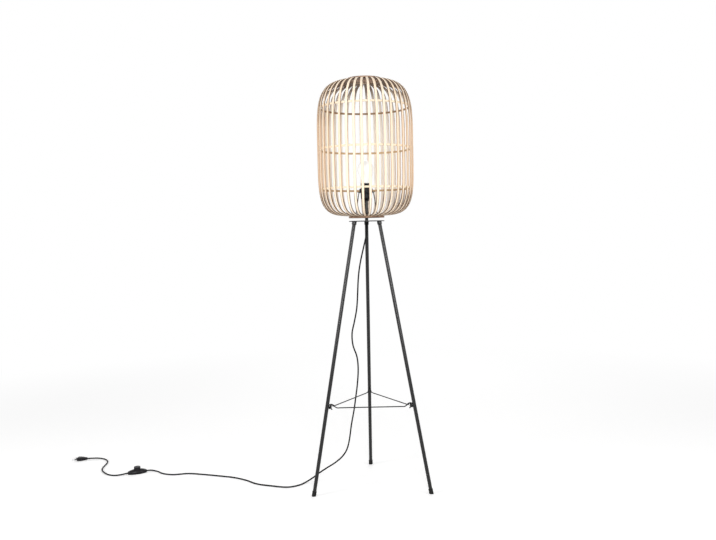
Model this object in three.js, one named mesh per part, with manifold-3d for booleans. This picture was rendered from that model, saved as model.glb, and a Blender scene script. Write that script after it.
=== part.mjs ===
// A rattan floor lamp: a black steel tripod, a stem with a lamp holder and bulb, and a
// squared-off globe of forty upright rattan slats round them. Millimetres, +Z up, standing on z = 0.
import * as THREE from 'three';
import { mergeVertices } from 'three/addons/utils/BufferGeometryUtils.js';
import Module from 'manifold-3d';

const wasm = await Module();
wasm.setup();

// Fits
const clearance = 0.3;
const cutOverrun = 2;
const weldDepth = 0.6;
const mergeTolerance = 1e-4;

// Counts and fineness
const slatCount = 40;
const slatsPerNode = 2;
const carrierWireCount = 3;
const slatSteps = 14;
const tubeSides = 16;
const wireSides = 6;
const wireSteps = 10;
const turnedSides = 28;
const hoopSides = 40;
const glassSides = 18;
const arcSteps = 6;
const springTurnSteps = 10;
const springSides = 5;

// Tripod
const footRadius = 219.8;
const legTopRadius = 47;
const legRadius = 6;
const legWall = 1.2;
const legPlug = 18;
const legStudRadius = 3;
const legStudLength = 8.5;
const capRadius = 7.2;
const capHeight = 16;
const capSole = 4;
const plateBottom = 884;
const plateThickness = 3;
const plateRadius = 59;
const bossRadius = 7.7;
const bossLength = 10;

// Brace and its wing nuts
const braceHeight = 282;
const braceDrop = 2;
const braceWireRadius = 1.75;
const braceStudRadius = 2;
const braceStudLength = 11.5;
const braceNeckRise = 8.2;
const braceNeckLength = 12;
const braceKink = 28;
const braceHold = 40;
const braceLoopShare = 0.8;
const nutHubRadius = 3.8;
const nutHubLength = 5;
const nutWingSpan = 19;
const nutWingHeight = 8.4;
const nutWingThickness = 2;

// Stem and cord gland
const stemRadius = 5.5;
const stemBore = 4;
const glandPlug = 12;
const glandFlange = 2;
const glandTaper = 24;
const glandTopRadius = 5.2;
const glandTipRadius = 3.6;
const cordRadius = 2.5;

// Base ring and shade
const ringGap = 9;
const ringHeight = 6;
const ringRadius = 59;
const ringBore = 43;
const ringRebateRadius = 48.5;
const ringRebateHeight = 3.8;
const shadeRadius = 158;
const shadeLowHeight = 219.7;
const shadeHighHeight = 224;
const shadeLowSquareness = 5;
const shadeHighSquareness = 4.4;
const slatWidth = 8.5;
const slatThickness = 3.5;
const slatSeat = 12;
const discRadius = 59;
const discThickness = 5.2;
const discChamfer = 0.8;
const hoopHeight = 6.5;
const hoopThickness = 3;
const hoopLowDrop = 130;
const hoopHighRise = 136;

// Lamp holder, measured up from its own lower end
const holderRise = 49;
const holderRadius = 18;
const holderWall = 1.8;
const holderNeckRadius = 8;
const holderNeckLength = 4;
const holderShoulder = 6;
const holderFloor = 1.5;
const holderCapHeight = 27;
const holderSkirtDrop = 6;
const holderSkirtWall = 1;
const holderHeight = 59;
const holderLipRadius = 15.2;
const holderLipThickness = 3;
const holderFlangeRadius = 21.5;
const holderFlangeThickness = 1.6;
const collarRadius = 22;
const collarHeight = 10;
const insulatorRadius = 14.5;
const insulatorHeight = 8.2;
const contactRadius = 4;
const contactHeight = 2;
const shellRadius = 14.1;
const shellWall = 0.5;
const shellHeight = 27;

// Shade carrier
const carrierRadius = 29;
const carrierThickness = 2;
const carrierWireRadius = 1.5;
const carrierRingRadius = 45.5;
const carrierWireTop = 26.5;

// Bulb, measured up from its contact
const bulbRadius = 27.5;
const bulbLength = 110;
const bulbCapRadius = 13.1;
const bulbCapLength = 27;
const bulbCapWall = 0.7;
const bulbCapCone = 7;
const bulbContactRadius = 5;
const bulbNeckRadius = 14.2;
const bulbNeckLength = 38;
const glassWall = 1;
const glassTail = 8;
const mountRadius = 5;
const mountLength = 34;
const mountWireRadius = 0.6;
const filamentSpan = 15;
const filamentRise = 20;

// Foot switch
const switchLength = 67;
const switchMidRadius = 14;
const switchEndRadius = 4.6;
const switchAxisHeight = 5.5;
const switchHeight = 17.5;
const switchWall = 1.8;
const switchEndWall = 7;
const switchFullness = 1.5;
const buttonRadius = 11.5;
const buttonProud = 8;
const buttonRound = 1.6;
const buttonSkirt = 2;
const buttonRimDepth = 4;
const buttonStemRadius = 4;
const buttonStemLength = 5;
const springWireRadius = 0.45;
const springRadius = 6;
const springTurns = 4;

// Plug
const plugLength = 36;
const plugWidth = 26;
const plugThickness = 13.7;
const plugTaper = 20;
const plugTipWidth = 8;
const plugShoulderShare = 0.72;
const plugPinRadius = 2;
const plugPinLength = 19;
const plugPinRoot = 6;
const plugPinSpacing = 19;

// The cord's route, from the lamp's axis, chosen point by point: gland to switch, then switch to plug
const cordSteps = 58;
const tailSteps = 20;
const cordSides = 8;
const switchPlace = [-839, 167];
const switchTurn = THREE.MathUtils.degToRad(25);
const plugPlace = [-1078, 342.5];
const plugTurn = THREE.MathUtils.degToRad(184);
const cordRoute = [
  [-4, 1, 832],
  [-24, 7, 748],
  [-31, 10, 703],
  [-39, 14, 595],
  [-48, 16, 549],
  [-56.5, 18, 510],
  [-54.5, 20, 470],
  [-42, 22, 430],
  [-38.5, 24, 390],
  [-42.5, 26, 334],
  [-49, 28, 289],
  [-55, 30, 249],
  [-65.5, 32, 195],
  [-74, 34, 141],
  [-83, 36, 109],
  [-98, 36, 86],
  [-122, 34, 66],
  [-152, 32, 48],
  [-180, 32, 30],
  [-203, 31, 13.5],
  [-226, 18, 3.6],
  [-248, -8, 2.6],
  [-282, -24, 2.6],
  [-336, -9, 2.6],
  [-391, 16, 2.6],
  [-433, 57, 2.6],
  [-480, 89, 2.6],
  [-528, 108, 2.6],
  [-596, 131, 2.6],
  [-652, 145, 2.6],
  [-702, 136, 2.6],
  [-726, 142, 2.6],
  [-748, 155, 2.6],
  [-763.5, 172, 2.7],
  [-780, 183, 3.4],
  [-791.5, 185.7, 4.6],
];
const tailRoute = [
  [-889, 144.5, 4],
  [-912, 141, 2.6],
  [-936, 150, 2.6],
  [-960, 175, 2.6],
  [-978, 206, 2.6],
  [-985, 237, 2.6],
  [-986, 269, 2.6],
  [-989, 302, 2.6],
  [-1001, 330, 2.6],
  [-1019, 346.5, 3.2],
  [-1041, 349, 5.4],
];

// Places that follow from the sizes above
const lean = Math.atan((footRadius - legTopRadius) / plateBottom);
const legNames = ['back', 'left', 'right'];
const legAngles = legNames.map((name, i) => Math.PI / 2 + (i * Math.PI * 2) / legNames.length);
const legPlateLength = plateBottom / Math.cos(lean);
const legTop = legPlateLength - bossLength - clearance;
const plateTop = plateBottom + plateThickness;
const ringBottom = plateTop + ringGap;
const ringTop = ringBottom + ringHeight;
const shadeMiddle = ringTop + clearance + shadeLowHeight;
const discBottom = shadeMiddle + shadeHighHeight + clearance;
const slatPitch = (Math.PI * 2) / slatCount;
const slatEndRadius = ringRadius - slatSeat;
const holderBottom = ringTop + holderRise;
const holderFloorLevel = holderBottom + holderNeckLength + holderShoulder + holderFloor;
const stemTop = holderFloorLevel - holderFloor;
const flangeBottom = holderBottom + holderCapHeight + clearance;
const carrierBottom = flangeBottom + holderFlangeThickness + clearance;
const insulatorBottom = holderFloorLevel + clearance;
const shellBottom = insulatorBottom + insulatorHeight + clearance;
const bulbBottom = shellBottom + contactHeight + clearance;
const glandTip = plateBottom - clearance - glandFlange - glandTaper;
const switchStretch = (switchHeight - switchAxisHeight) / switchMidRadius;
const springBottom = switchWall + clearance + springWireRadius;
const buttonUnderside = switchHeight - switchWall - buttonSkirt / 2;
const buttonRimBottom = buttonUnderside - buttonRimDepth;

// Materials
const metal = (color, roughness, metalness) =>
  new THREE.MeshStandardMaterial({ color, roughness, metalness });
const blackSteel = metal(0x1b1b1c, 0.45, 0.6);
const blackPlastic = metal(0x151515, 0.4, 0);
const blackRubber = metal(0x111111, 0.8, 0);
const rattan = metal(0xe3c49d, 0.55, 0);
const brownWood = metal(0x7a5638, 0.6, 0);
const brass = metal(0xb99a55, 0.35, 0.9);
const steel = metal(0xb8bcc0, 0.3, 0.9);
const ceramic = metal(0xe9e6df, 0.4, 0);
const glass = metal(0xf4f1ea, 0.25, 0);

// A mesh whose corners are shared, without flat triangles, facing out
function shared(geometry) {
  const bare = geometry.clone();
  for (const name of Object.keys(bare.attributes)) {
    if (name !== 'position') bare.deleteAttribute(name);
  }
  const merged = mergeVertices(bare, mergeTolerance);
  const corners = merged.index.array;
  const kept = [];
  for (let i = 0; i < corners.length; i += 3) {
    const [a, b, c] = [corners[i], corners[i + 1], corners[i + 2]];
    if (a !== b && b !== c && c !== a) kept.push(a, b, c);
  }
  if (signedVolume(merged.attributes.position, kept) < 0) {
    for (let i = 0; i < kept.length; i += 3) [kept[i], kept[i + 1]] = [kept[i + 1], kept[i]];
  }
  merged.setIndex(kept);
  merged.computeVertexNormals();
  return merged;
}

function signedVolume(position, corners) {
  const [a, b, c] = [new THREE.Vector3(), new THREE.Vector3(), new THREE.Vector3()];
  let sum = 0;
  for (let i = 0; i < corners.length; i += 3) {
    a.fromBufferAttribute(position, corners[i]);
    b.fromBufferAttribute(position, corners[i + 1]);
    c.fromBufferAttribute(position, corners[i + 2]);
    sum += a.dot(b.cross(c));
  }
  return sum;
}

function solid(geometry) {
  const merged = shared(geometry);
  return new wasm.Manifold(
    new wasm.Mesh({
      numProp: 3,
      vertProperties: new Float32Array(merged.attributes.position.array),
      triVerts: new Uint32Array(merged.index.array),
    }),
  );
}

function toGeometry(body) {
  const mesh = body.getMesh();
  const geometry = new THREE.BufferGeometry();
  geometry.setAttribute('position', new THREE.BufferAttribute(new Float32Array(mesh.vertProperties), 3));
  geometry.setIndex([...mesh.triVerts]);
  geometry.computeVertexNormals();
  return geometry;
}

// Shapes used by several pieces
const point = (x, y) => new THREE.Vector2(x, y);

// A turned piece about +Z; its profile is a list of [radius, height]
function turned(profile, sides = turnedSides) {
  const points = profile.map(([radius, height]) => point(radius, height));
  return shared(new THREE.LatheGeometry(points, sides).rotateX(Math.PI / 2));
}

function ring(inner, outer, bottom, top, sides = turnedSides) {
  return turned(
    [
      [inner, bottom],
      [outer, bottom],
      [outer, top],
      [inner, top],
      [inner, bottom],
    ],
    sides,
  );
}

function rod(radius, bottom, top, sides = tubeSides) {
  return turned(
    [
      [0, bottom],
      [radius, bottom],
      [radius, top],
      [0, top],
    ],
    sides,
  );
}

function circleShape(radius, sides) {
  const shape = new THREE.Shape();
  for (let i = 0; i < sides; i += 1) {
    const angle = ((i + 1 / 2) * Math.PI * 2) / sides;
    shape[i ? 'lineTo' : 'moveTo'](radius * Math.cos(angle), radius * Math.sin(angle));
  }
  shape.closePath();
  return shape;
}

function tube(path, radius, steps, sides = wireSides) {
  return shared(
    new THREE.ExtrudeGeometry(circleShape(radius, sides), { extrudePath: path, steps, curveSegments: 1 }),
  );
}

// A curve that spends the same number of steps between each two of its points
class KnotCurve extends THREE.CatmullRomCurve3 {
  getUtoTmapping(u) {
    return u;
  }
}

const vector = (x, y, z) => new THREE.Vector3(x, y, z);

// Sets the pieces below into the lamp; each call adds one named mesh
const lamp = new THREE.Group();

function add(parent, name, geometry, material) {
  const mesh = new THREE.Mesh(geometry, material);
  mesh.name = name;
  parent.add(mesh);
  return mesh;
}

// Tripod: a leg stands along +Z of its own frame, outward is +X, and z = 0 is where its axis meets the floor
function legFrame(angle) {
  const turn = new THREE.Group();
  turn.rotation.z = angle;
  const tilt = new THREE.Group();
  tilt.position.x = footRadius;
  tilt.rotation.y = -lean;
  turn.add(tilt);
  return [turn, tilt];
}

// Distance from the lamp's axis to the inner side of a leg at a height
function legInnerRadius(height) {
  return footRadius - height * Math.tan(lean) - legRadius / Math.cos(lean);
}

function leg() {
  const bottom = capSole + clearance;
  const inner = legRadius - legWall;
  const tubeAndStud = turned(
    [
      [0, legTop - legPlug],
      [inner, legTop - legPlug],
      [inner, bottom],
      [legRadius, bottom],
      [legRadius, legTop],
      [legStudRadius, legTop],
      [legStudRadius, legTop + legStudLength],
      [0, legTop + legStudLength],
    ],
    tubeSides,
  );
  const stud = rod(braceStudRadius, legRadius - weldDepth, legRadius / Math.cos(lean) + braceStudLength);
  stud.rotateY(-Math.PI / 2 + lean).translate(0, 0, braceHeight / Math.cos(lean));
  return toGeometry(solid(tubeAndStud).add(solid(stud)));
}

function footCap() {
  const outer = rod(capRadius, -capRadius, capHeight, tubeSides);
  const bore = rod(legRadius + clearance, capSole, capHeight + cutOverrun, tubeSides);
  const floor = new THREE.BoxGeometry(footRadius, footRadius, footRadius);
  floor.translate(0, 0, -footRadius / 2).rotateY(lean);
  return toGeometry(solid(outer).subtract(solid(bore)).subtract(solid(floor)));
}

function tripodPlate() {
  let plate = solid(ring(stemRadius + clearance, plateRadius, plateBottom, plateTop));
  for (const angle of legAngles) {
    const place = (geometry) =>
      geometry.rotateY(-lean).translate(footRadius, 0, 0).rotateZ(angle);
    const start = legPlateLength - bossLength;
    const boss = rod(bossRadius, start, legPlateLength + bossRadius * Math.tan(lean));
    plate = plate.add(solid(place(boss)));
    const hole = rod(
      legStudRadius + clearance,
      start - cutOverrun,
      start + legStudLength,
    );
    plate = plate.subtract(solid(place(hole)));
  }
  return toGeometry(plate);
}

// Brace: one closed wire, which hooks under a stud on each leg and passes both sides of the nut's upper wing
function braceCorner() {
  const lateral = braceStudRadius + clearance + braceWireRadius;
  const slope = braceNeckRise * Math.tan(lean);
  const plane = braceWireRadius + clearance + slope / 2;
  const diagonal = lateral * Math.SQRT1_2;
  const kink = braceKink * Math.SQRT1_2;
  const onSide = (distance) => [
    distance * Math.cos(Math.PI / 6),
    distance * Math.sin(Math.PI / 6),
    -braceDrop,
  ];
  const half = [
    [plane, diagonal, -diagonal],
    [plane, lateral, 0],
    [plane, lateral, lateral * braceLoopShare],
    [plane + braceWireRadius, lateral, (lateral + braceNeckRise) / 2],
    [(plane + braceNeckLength) / 2, lateral, braceNeckRise - braceWireRadius / 2],
    [braceNeckLength, lateral, braceNeckRise],
    [(braceNeckLength + kink) / 2, lateral + clearance, braceNeckRise - braceDrop],
    [kink, (lateral + kink / 2) / 2, braceDrop / 2],
    onSide(braceKink),
    onSide(braceHold),
  ];
  const mirrored = half.map(([u, t, z]) => [u, -t, z]).reverse();
  return [...mirrored, [plane, 0, -lateral], ...half];
}

function braceWire() {
  const surface = legInnerRadius(braceHeight);
  const points = [];
  for (const angle of legAngles) {
    for (const [inward, across, rise] of braceCorner()) {
      const place = vector(surface - inward, across, braceHeight + rise);
      points.push(place.applyAxisAngle(vector(0, 0, 1), angle));
    }
  }
  const path = new KnotCurve(points, true, 'centripetal');
  return shared(new THREE.TubeGeometry(path, points.length, braceWireRadius, wireSides, true));
}

// Wing nut outline, as shares of the wing's height and of half the span
const nutWingShares = [
  [0.04, 0.3],
  [0.34, 0.72],
  [0.74, 1],
  [1, 0.93],
  [0.84, 0.62],
  [0.6, 0.34],
];

function wingNut() {
  const hub = ring(braceStudRadius + clearance, nutHubRadius, 0, nutHubLength, tubeSides);
  const half = nutWingSpan / 2;
  let nut = solid(hub);
  for (const side of [1, -1]) {
    const shape = new THREE.Shape(
      nutWingShares.map(([along, across]) => point(along * nutWingHeight, side * across * half)),
    );
    const wing = new THREE.ExtrudeGeometry(shape, { depth: nutWingThickness, bevelEnabled: false });
    wing.translate(0, 0, -nutWingThickness / 2).rotateX(Math.PI / 2).rotateY(-Math.PI / 2);
    nut = nut.add(solid(wing));
  }
  const bore = rod(braceStudRadius + clearance, -cutOverrun, nutHubLength + cutOverrun);
  return toGeometry(nut.subtract(solid(bore)));
}

function addTripod() {
  legAngles.forEach((angle, index) => {
    const [turn, tilt] = legFrame(angle);
    add(tilt, `leg_${legNames[index]}`, leg(), blackSteel);
    add(tilt, `foot_cap_${legNames[index]}`, footCap(), blackRubber);
    const nut = add(turn, `wing_nut_${legNames[index]}`, wingNut(), blackSteel);
    const slope = (braceNeckRise * Math.tan(lean)) / 2;
    const seat = braceWireRadius * 2 + clearance * 2 + slope;
    nut.position.set(legInnerRadius(braceHeight) - seat, 0, braceHeight);
    nut.rotation.y = -Math.PI / 2;
    lamp.add(turn);
  });
  add(lamp, 'tripod_plate', tripodPlate(), blackSteel);
  add(lamp, 'brace_wire', braceWire(), blackSteel);
}

// Stem, gland and the lead inside the stem
function cordGland() {
  const bore = cordRadius + clearance;
  const seat = plateBottom - clearance;
  return turned(
    [
      [bore, glandTip],
      [glandTipRadius, glandTip],
      [glandTopRadius, seat - glandFlange],
      [glandTopRadius, seat],
      [stemBore - clearance, seat],
      [stemBore - clearance, seat + glandPlug],
      [bore, seat + glandPlug],
      [bore, glandTip],
    ],
    tubeSides,
  );
}

function addStem() {
  add(lamp, 'stem_tube', ring(stemBore, stemRadius, plateBottom, stemTop, tubeSides), blackSteel);
  add(lamp, 'cord_gland', cordGland(), blackRubber);
  add(lamp, 'inner_lead', rod(cordRadius, glandTip, insulatorBottom - clearance), blackRubber);
}

// Lamp holder
function holderCap() {
  const inner = holderRadius - holderWall;
  const bore = stemRadius + clearance;
  const shoulder = holderBottom + holderNeckLength;
  const top = holderBottom + holderCapHeight;
  return turned([
    [bore, holderBottom],
    [holderNeckRadius, holderBottom],
    [holderNeckRadius, shoulder],
    [inner, shoulder + holderShoulder / 2],
    [holderRadius, shoulder + holderShoulder],
    [holderRadius, top],
    [inner, top],
    [inner, holderFloorLevel],
    [bore, holderFloorLevel],
    [bore, holderBottom],
  ]);
}

function holderBody() {
  const inner = holderRadius - holderWall;
  const skirt = inner - clearance;
  const top = holderBottom + holderHeight;
  const flangeTop = flangeBottom + holderFlangeThickness;
  return turned([
    [skirt - holderSkirtWall, flangeBottom - holderSkirtDrop],
    [skirt, flangeBottom - holderSkirtDrop],
    [skirt, flangeBottom],
    [holderFlangeRadius, flangeBottom],
    [holderFlangeRadius, flangeTop],
    [holderRadius, flangeTop],
    [holderRadius, top - holderLipThickness / 3],
    [holderRadius - holderLipThickness / 3, top],
    [holderLipRadius, top],
    [holderLipRadius, top - holderLipThickness],
    [inner, top - holderLipThickness],
    [inner, flangeTop],
    [skirt - holderSkirtWall, flangeBottom],
    [skirt - holderSkirtWall, flangeBottom - holderSkirtDrop],
  ]);
}

function addHolder() {
  add(lamp, 'holder_cap', holderCap(), blackPlastic);
  add(lamp, 'holder_body', holderBody(), blackPlastic);
  const collarBottom = carrierBottom + carrierThickness + clearance;
  const collar = ring(holderRadius + clearance, collarRadius, collarBottom, collarBottom + collarHeight);
  add(lamp, 'shade_collar', collar, blackPlastic);
  const insulator = rod(insulatorRadius, insulatorBottom, insulatorBottom + insulatorHeight, turnedSides);
  add(lamp, 'holder_insulator', insulator, ceramic);
  add(lamp, 'holder_contact', rod(contactRadius, shellBottom, shellBottom + contactHeight), brass);
  const shell = ring(shellRadius - shellWall, shellRadius, shellBottom, shellBottom + shellHeight);
  add(lamp, 'holder_shell', shell, brass);
}

// Shade carrier: a flat ring clamped on the holder, wires down through the base ring, and a wire ring under
// the ledge of the base ring
function shadeCarrier() {
  const top = carrierBottom + carrierThickness;
  const flat = ring(holderRadius + clearance, carrierRadius, carrierBottom, top);
  const level = ringBottom + ringRebateHeight - clearance - carrierWireRadius;
  const hoop = new THREE.TorusGeometry(carrierRingRadius, carrierWireRadius, wireSides, turnedSides);
  hoop.translate(0, 0, level);
  const inside = ringBore - clearance - carrierWireRadius;
  const wire = tube(
    new KnotCurve(
      [
        vector(carrierWireTop, 0, carrierBottom + carrierThickness / 2),
        vector(carrierWireTop + carrierWireRadius, 0, carrierBottom - carrierThickness * 2),
        vector(inside - carrierWireRadius, 0, ringTop + ringGap),
        vector(inside, 0, ringTop),
        vector(inside, 0, level + carrierWireRadius),
        vector(inside + carrierWireRadius, 0, level - clearance),
        vector(carrierRingRadius, 0, level),
      ],
      false,
      'centripetal',
    ),
    carrierWireRadius,
    wireSteps,
  );
  let carrier = solid(flat).add(solid(hoop));
  for (let i = 0; i < carrierWireCount; i += 1) {
    const angle = Math.PI / 2 + (i * Math.PI * 2) / carrierWireCount;
    carrier = carrier.add(solid(wire.clone().rotateZ(angle)));
  }
  return toGeometry(carrier);
}

// Bulb
function bulbCap() {
  const inner = bulbCapRadius - bulbCapWall;
  return turned(
    [
      [0, bulbBottom],
      [bulbContactRadius, bulbBottom],
      [bulbCapRadius, bulbBottom + bulbCapCone],
      [bulbCapRadius, bulbBottom + bulbCapLength],
      [inner, bulbBottom + bulbCapLength],
      [inner, bulbBottom + bulbCapCone],
      [0, bulbBottom + bulbCapCone / 2],
    ],
    glassSides,
  );
}

// Half of the glass envelope's outline, at a distance inside its outer face
function glassOutline(inset) {
  const tail = bulbBottom + bulbCapLength - glassTail;
  const tailRadius = bulbCapRadius - bulbCapWall - clearance;
  const centre = bulbBottom + bulbLength - bulbRadius;
  const neckTop = bulbBottom + bulbNeckLength;
  const points = [
    [tailRadius - inset, tail],
    [tailRadius - inset, bulbBottom + bulbCapLength + clearance],
    [bulbNeckRadius - inset, bulbBottom + bulbCapLength + glassTail / 2],
  ];
  for (let i = 0; i <= arcSteps; i += 1) {
    const share = i / arcSteps;
    const eased = share * share * (3 - 2 * share);
    points.push([
      bulbNeckRadius + (bulbRadius - bulbNeckRadius) * eased - inset,
      neckTop + (centre - neckTop) * share,
    ]);
  }
  for (let i = 1; i <= arcSteps; i += 1) {
    const angle = (i / arcSteps) * (Math.PI / 2);
    points.push([(bulbRadius - inset) * Math.cos(angle), centre + (bulbRadius - inset) * Math.sin(angle)]);
  }
  points[points.length - 1][0] = 0;
  return points;
}

function bulbMount() {
  const stemFoot = bulbBottom + bulbCapLength;
  const tail = stemFoot - glassTail;
  const flare = bulbCapRadius - bulbCapWall - glassWall - clearance * 2;
  const stemTip = stemFoot + mountLength;
  const post = turned(
    [
      [0, tail],
      [flare, tail],
      [flare, tail + glassWall],
      [mountRadius, stemFoot],
      [mountRadius, stemTip],
      [0, stemTip + mountRadius / 2],
    ],
    tubeSides,
  );
  const half = filamentSpan / 2;
  const filament = tube(
    new KnotCurve(
      [
        vector(-mountRadius / 2, 0, stemTip - mountRadius),
        vector(-half, 0, stemTip + filamentRise / 2),
        vector(-half, 0, stemTip + filamentRise),
        vector(0, 0, stemTip + filamentRise + mountRadius / 2),
        vector(half, 0, stemTip + filamentRise),
        vector(half, 0, stemTip + filamentRise / 2),
        vector(mountRadius / 2, 0, stemTip - mountRadius),
      ],
      false,
      'centripetal',
    ),
    mountWireRadius,
    wireSteps,
  );
  return toGeometry(solid(post).add(solid(filament)));
}

function addBulb() {
  add(lamp, 'bulb_cap', bulbCap(), brass);
  const envelope = [...glassOutline(glassWall).reverse(), ...glassOutline(0)];
  add(lamp, 'bulb_glass', turned(envelope, glassSides), glass);
  add(lamp, 'bulb_mount', bulbMount(), steel);
}

// Shade: the outer face of a slat is a squared ellipse in each half, from the base ring up to the disc
const lowHalf = { height: -shadeLowHeight, squareness: shadeLowSquareness };
const highHalf = { height: shadeHighHeight, squareness: shadeHighSquareness };

function shadePoint(half, angle) {
  const power = 2 / half.squareness;
  return point(
    shadeRadius * Math.cos(angle) ** power,
    shadeMiddle + half.height * Math.sin(angle) ** power,
  );
}

function shadeNormal(half, place) {
  const power = half.squareness - 1;
  return point(
    (place.x / shadeRadius) ** power / shadeRadius,
    ((place.y - shadeMiddle) / half.height) ** power / half.height,
  ).normalize();
}

// Outer and inner edges of a slat seen from the side, from the base ring up to the disc
function slatEdges() {
  const outer = [];
  const inner = [];
  const steps = slatSteps / 2;
  for (let i = -steps; i <= steps; i += 1) {
    const half = i < 0 ? lowHalf : highHalf;
    const end = Math.acos((slatEndRadius / shadeRadius) ** (half.squareness / 2));
    const place = shadePoint(half, (end * Math.abs(i)) / steps);
    outer.push(place);
    inner.push(place.clone().addScaledVector(shadeNormal(half, place), -slatThickness));
  }
  return [outer, inner];
}

// Radius of the slats' inner face at a height
function slatInnerRadius(height) {
  const inner = slatEdges()[1];
  const above = inner.findIndex((place) => place.y >= height);
  const [low, high] = [inner[above - 1], inner[above]];
  return low.x + ((high.x - low.x) * (height - low.y)) / (high.y - low.y);
}

function slat() {
  const [outer, inner] = slatEdges();
  const shape = new THREE.Shape([...outer, ...inner.reverse()]);
  const bar = new THREE.ExtrudeGeometry(shape, { depth: slatWidth, bevelEnabled: false });
  bar.translate(0, 0, -slatWidth / 2).rotateX(Math.PI / 2);
  const apex = clearance / 2 / Math.sin(slatPitch / 2);
  const reach = shadeRadius + cutOverrun;
  const spread = (reach - apex) * Math.tan(slatPitch / 2);
  const wedge = new THREE.ExtrudeGeometry(
    new THREE.Shape([point(apex, 0), point(reach, -spread), point(reach, spread)]),
    { depth: discBottom + cutOverrun, bevelEnabled: false },
  );
  return solid(bar).intersect(solid(wedge));
}

// Two neighbouring slats, held together by a short web under the disc
function slatGroup() {
  const share = (ringRadius / shadeRadius) ** shadeHighSquareness;
  const low = shadeHighHeight * (1 - share) ** (1 / shadeHighSquareness);
  const web = new THREE.Shape();
  const spread = (slatPitch * (slatsPerNode - 1)) / 2;
  web.absarc(0, 0, slatEndRadius + slatSeat / 2, -spread, spread, false);
  web.absarc(0, 0, slatEndRadius, spread, -spread, true);
  web.closePath();
  const webGeometry = new THREE.ExtrudeGeometry(web, {
    depth: slatThickness / 2,
    bevelEnabled: false,
    curveSegments: slatsPerNode,
  });
  let group = solid(webGeometry.translate(0, 0, shadeMiddle + low - slatThickness / 2));
  const one = slat();
  for (let i = 0; i < slatsPerNode; i += 1) {
    const degrees = THREE.MathUtils.radToDeg(-spread + i * slatPitch);
    group = group.add(one.rotate([0, 0, degrees]));
  }
  return toGeometry(group);
}

function baseRing() {
  const ledge = ringBottom + ringRebateHeight;
  return turned([
    [ringRebateRadius, ringBottom],
    [ringRadius, ringBottom],
    [ringRadius, ringTop],
    [ringBore, ringTop],
    [ringBore, ledge],
    [ringRebateRadius, ledge],
    [ringRebateRadius, ringBottom],
  ]);
}

function topDisc() {
  const top = discBottom + discThickness;
  return turned([
    [0, discBottom],
    [discRadius, discBottom],
    [discRadius, top - discChamfer],
    [discRadius - discChamfer, top],
    [0, top],
  ]);
}

function hoop(level) {
  const low = slatInnerRadius(level - hoopHeight / 2);
  const high = slatInnerRadius(level + hoopHeight / 2);
  const outer = Math.min(low, high) - clearance;
  return ring(outer - hoopThickness, outer, level - hoopHeight / 2, level + hoopHeight / 2, hoopSides);
}

function addShade() {
  add(lamp, 'shade_carrier', shadeCarrier(), blackSteel);
  add(lamp, 'base_ring', baseRing(), brownWood);
  add(lamp, 'top_disc', topDisc(), brownWood);
  add(lamp, 'hoop_low', hoop(shadeMiddle - hoopLowDrop), rattan);
  add(lamp, 'hoop_middle', hoop(shadeMiddle), rattan);
  add(lamp, 'hoop_high', hoop(shadeMiddle + hoopHighRise), rattan);
  const pair = slatGroup();
  const groups = slatCount / slatsPerNode;
  for (let i = 0; i < groups; i += 1) {
    const name = `slat_pair_${String(i + 1).padStart(2, '0')}`;
    const mesh = add(lamp, name, pair.clone(), rattan);
    mesh.rotation.z = Math.PI / 2 + i * slatPitch * slatsPerNode;
  }
}

// Foot switch: a flattened spindle along X, split at its axis, flat on the floor
function spindle(length, midRadius, endRadius) {
  const profile = [[0, -length / 2]];
  for (let i = 0; i <= arcSteps * 2; i += 1) {
    const angle = (i / arcSteps - 1) * (Math.PI / 2);
    const radius = endRadius + (midRadius - endRadius) * Math.cos(angle) ** switchFullness;
    profile.push([i % (arcSteps * 2) ? radius : endRadius, (Math.sin(angle) * length) / 2]);
  }
  profile.push([0, length / 2]);
  return turned(profile, glassSides)
    .rotateY(Math.PI / 2)
    .scale(1, 1, switchStretch)
    .translate(0, 0, switchAxisHeight);
}

function slab(bottom, top) {
  const box = new THREE.BoxGeometry(switchLength, switchLength, top - bottom);
  return solid(box.translate(0, 0, (bottom + top) / 2));
}

function switchHalf(bottom, top) {
  const outer = solid(spindle(switchLength, switchMidRadius, switchEndRadius));
  const inner = solid(
    spindle(switchLength - switchEndWall * 2, switchMidRadius - switchWall, switchEndRadius - switchWall),
  );
  return outer.subtract(inner.intersect(slab(switchWall, switchHeight))).intersect(slab(bottom, top));
}

function switchButton() {
  const top = switchHeight + buttonProud;
  const corner = top - buttonRound;
  return turned(
    [
      [0, buttonUnderside - buttonStemLength],
      [buttonStemRadius, buttonUnderside - buttonStemLength],
      [buttonStemRadius, buttonUnderside],
      [buttonRadius - switchWall, buttonUnderside],
      [buttonRadius - switchWall, buttonRimBottom],
      [buttonRadius, buttonRimBottom],
      [buttonRadius, corner],
      [buttonRadius - buttonRound, top],
      [0, top],
    ],
    tubeSides,
  );
}

class Helix extends THREE.Curve {
  getPoint(t) {
    const angle = t * springTurns * Math.PI * 2;
    const height = buttonUnderside - clearance - springWireRadius - springBottom;
    return vector(springRadius * Math.cos(angle), springRadius * Math.sin(angle), springBottom + height * t);
  }
}

function addSwitch() {
  const place = new THREE.Group();
  place.position.set(switchPlace[0], switchPlace[1], 0);
  place.rotation.z = switchTurn;
  const base = switchHalf(0, switchAxisHeight);
  const hole = rod(buttonRadius + clearance, switchAxisHeight, switchHeight + cutOverrun);
  const cover = switchHalf(switchAxisHeight + clearance, switchHeight + cutOverrun).subtract(solid(hole));
  add(place, 'switch_base', toGeometry(base), blackPlastic);
  add(place, 'switch_cover', toGeometry(cover), blackPlastic);
  add(place, 'switch_button', switchButton(), blackPlastic);
  const spring = tube(new Helix(), springWireRadius, springTurns * springTurnSteps, springSides);
  add(place, 'switch_spring', spring, steel);
  lamp.add(place);
}

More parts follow.
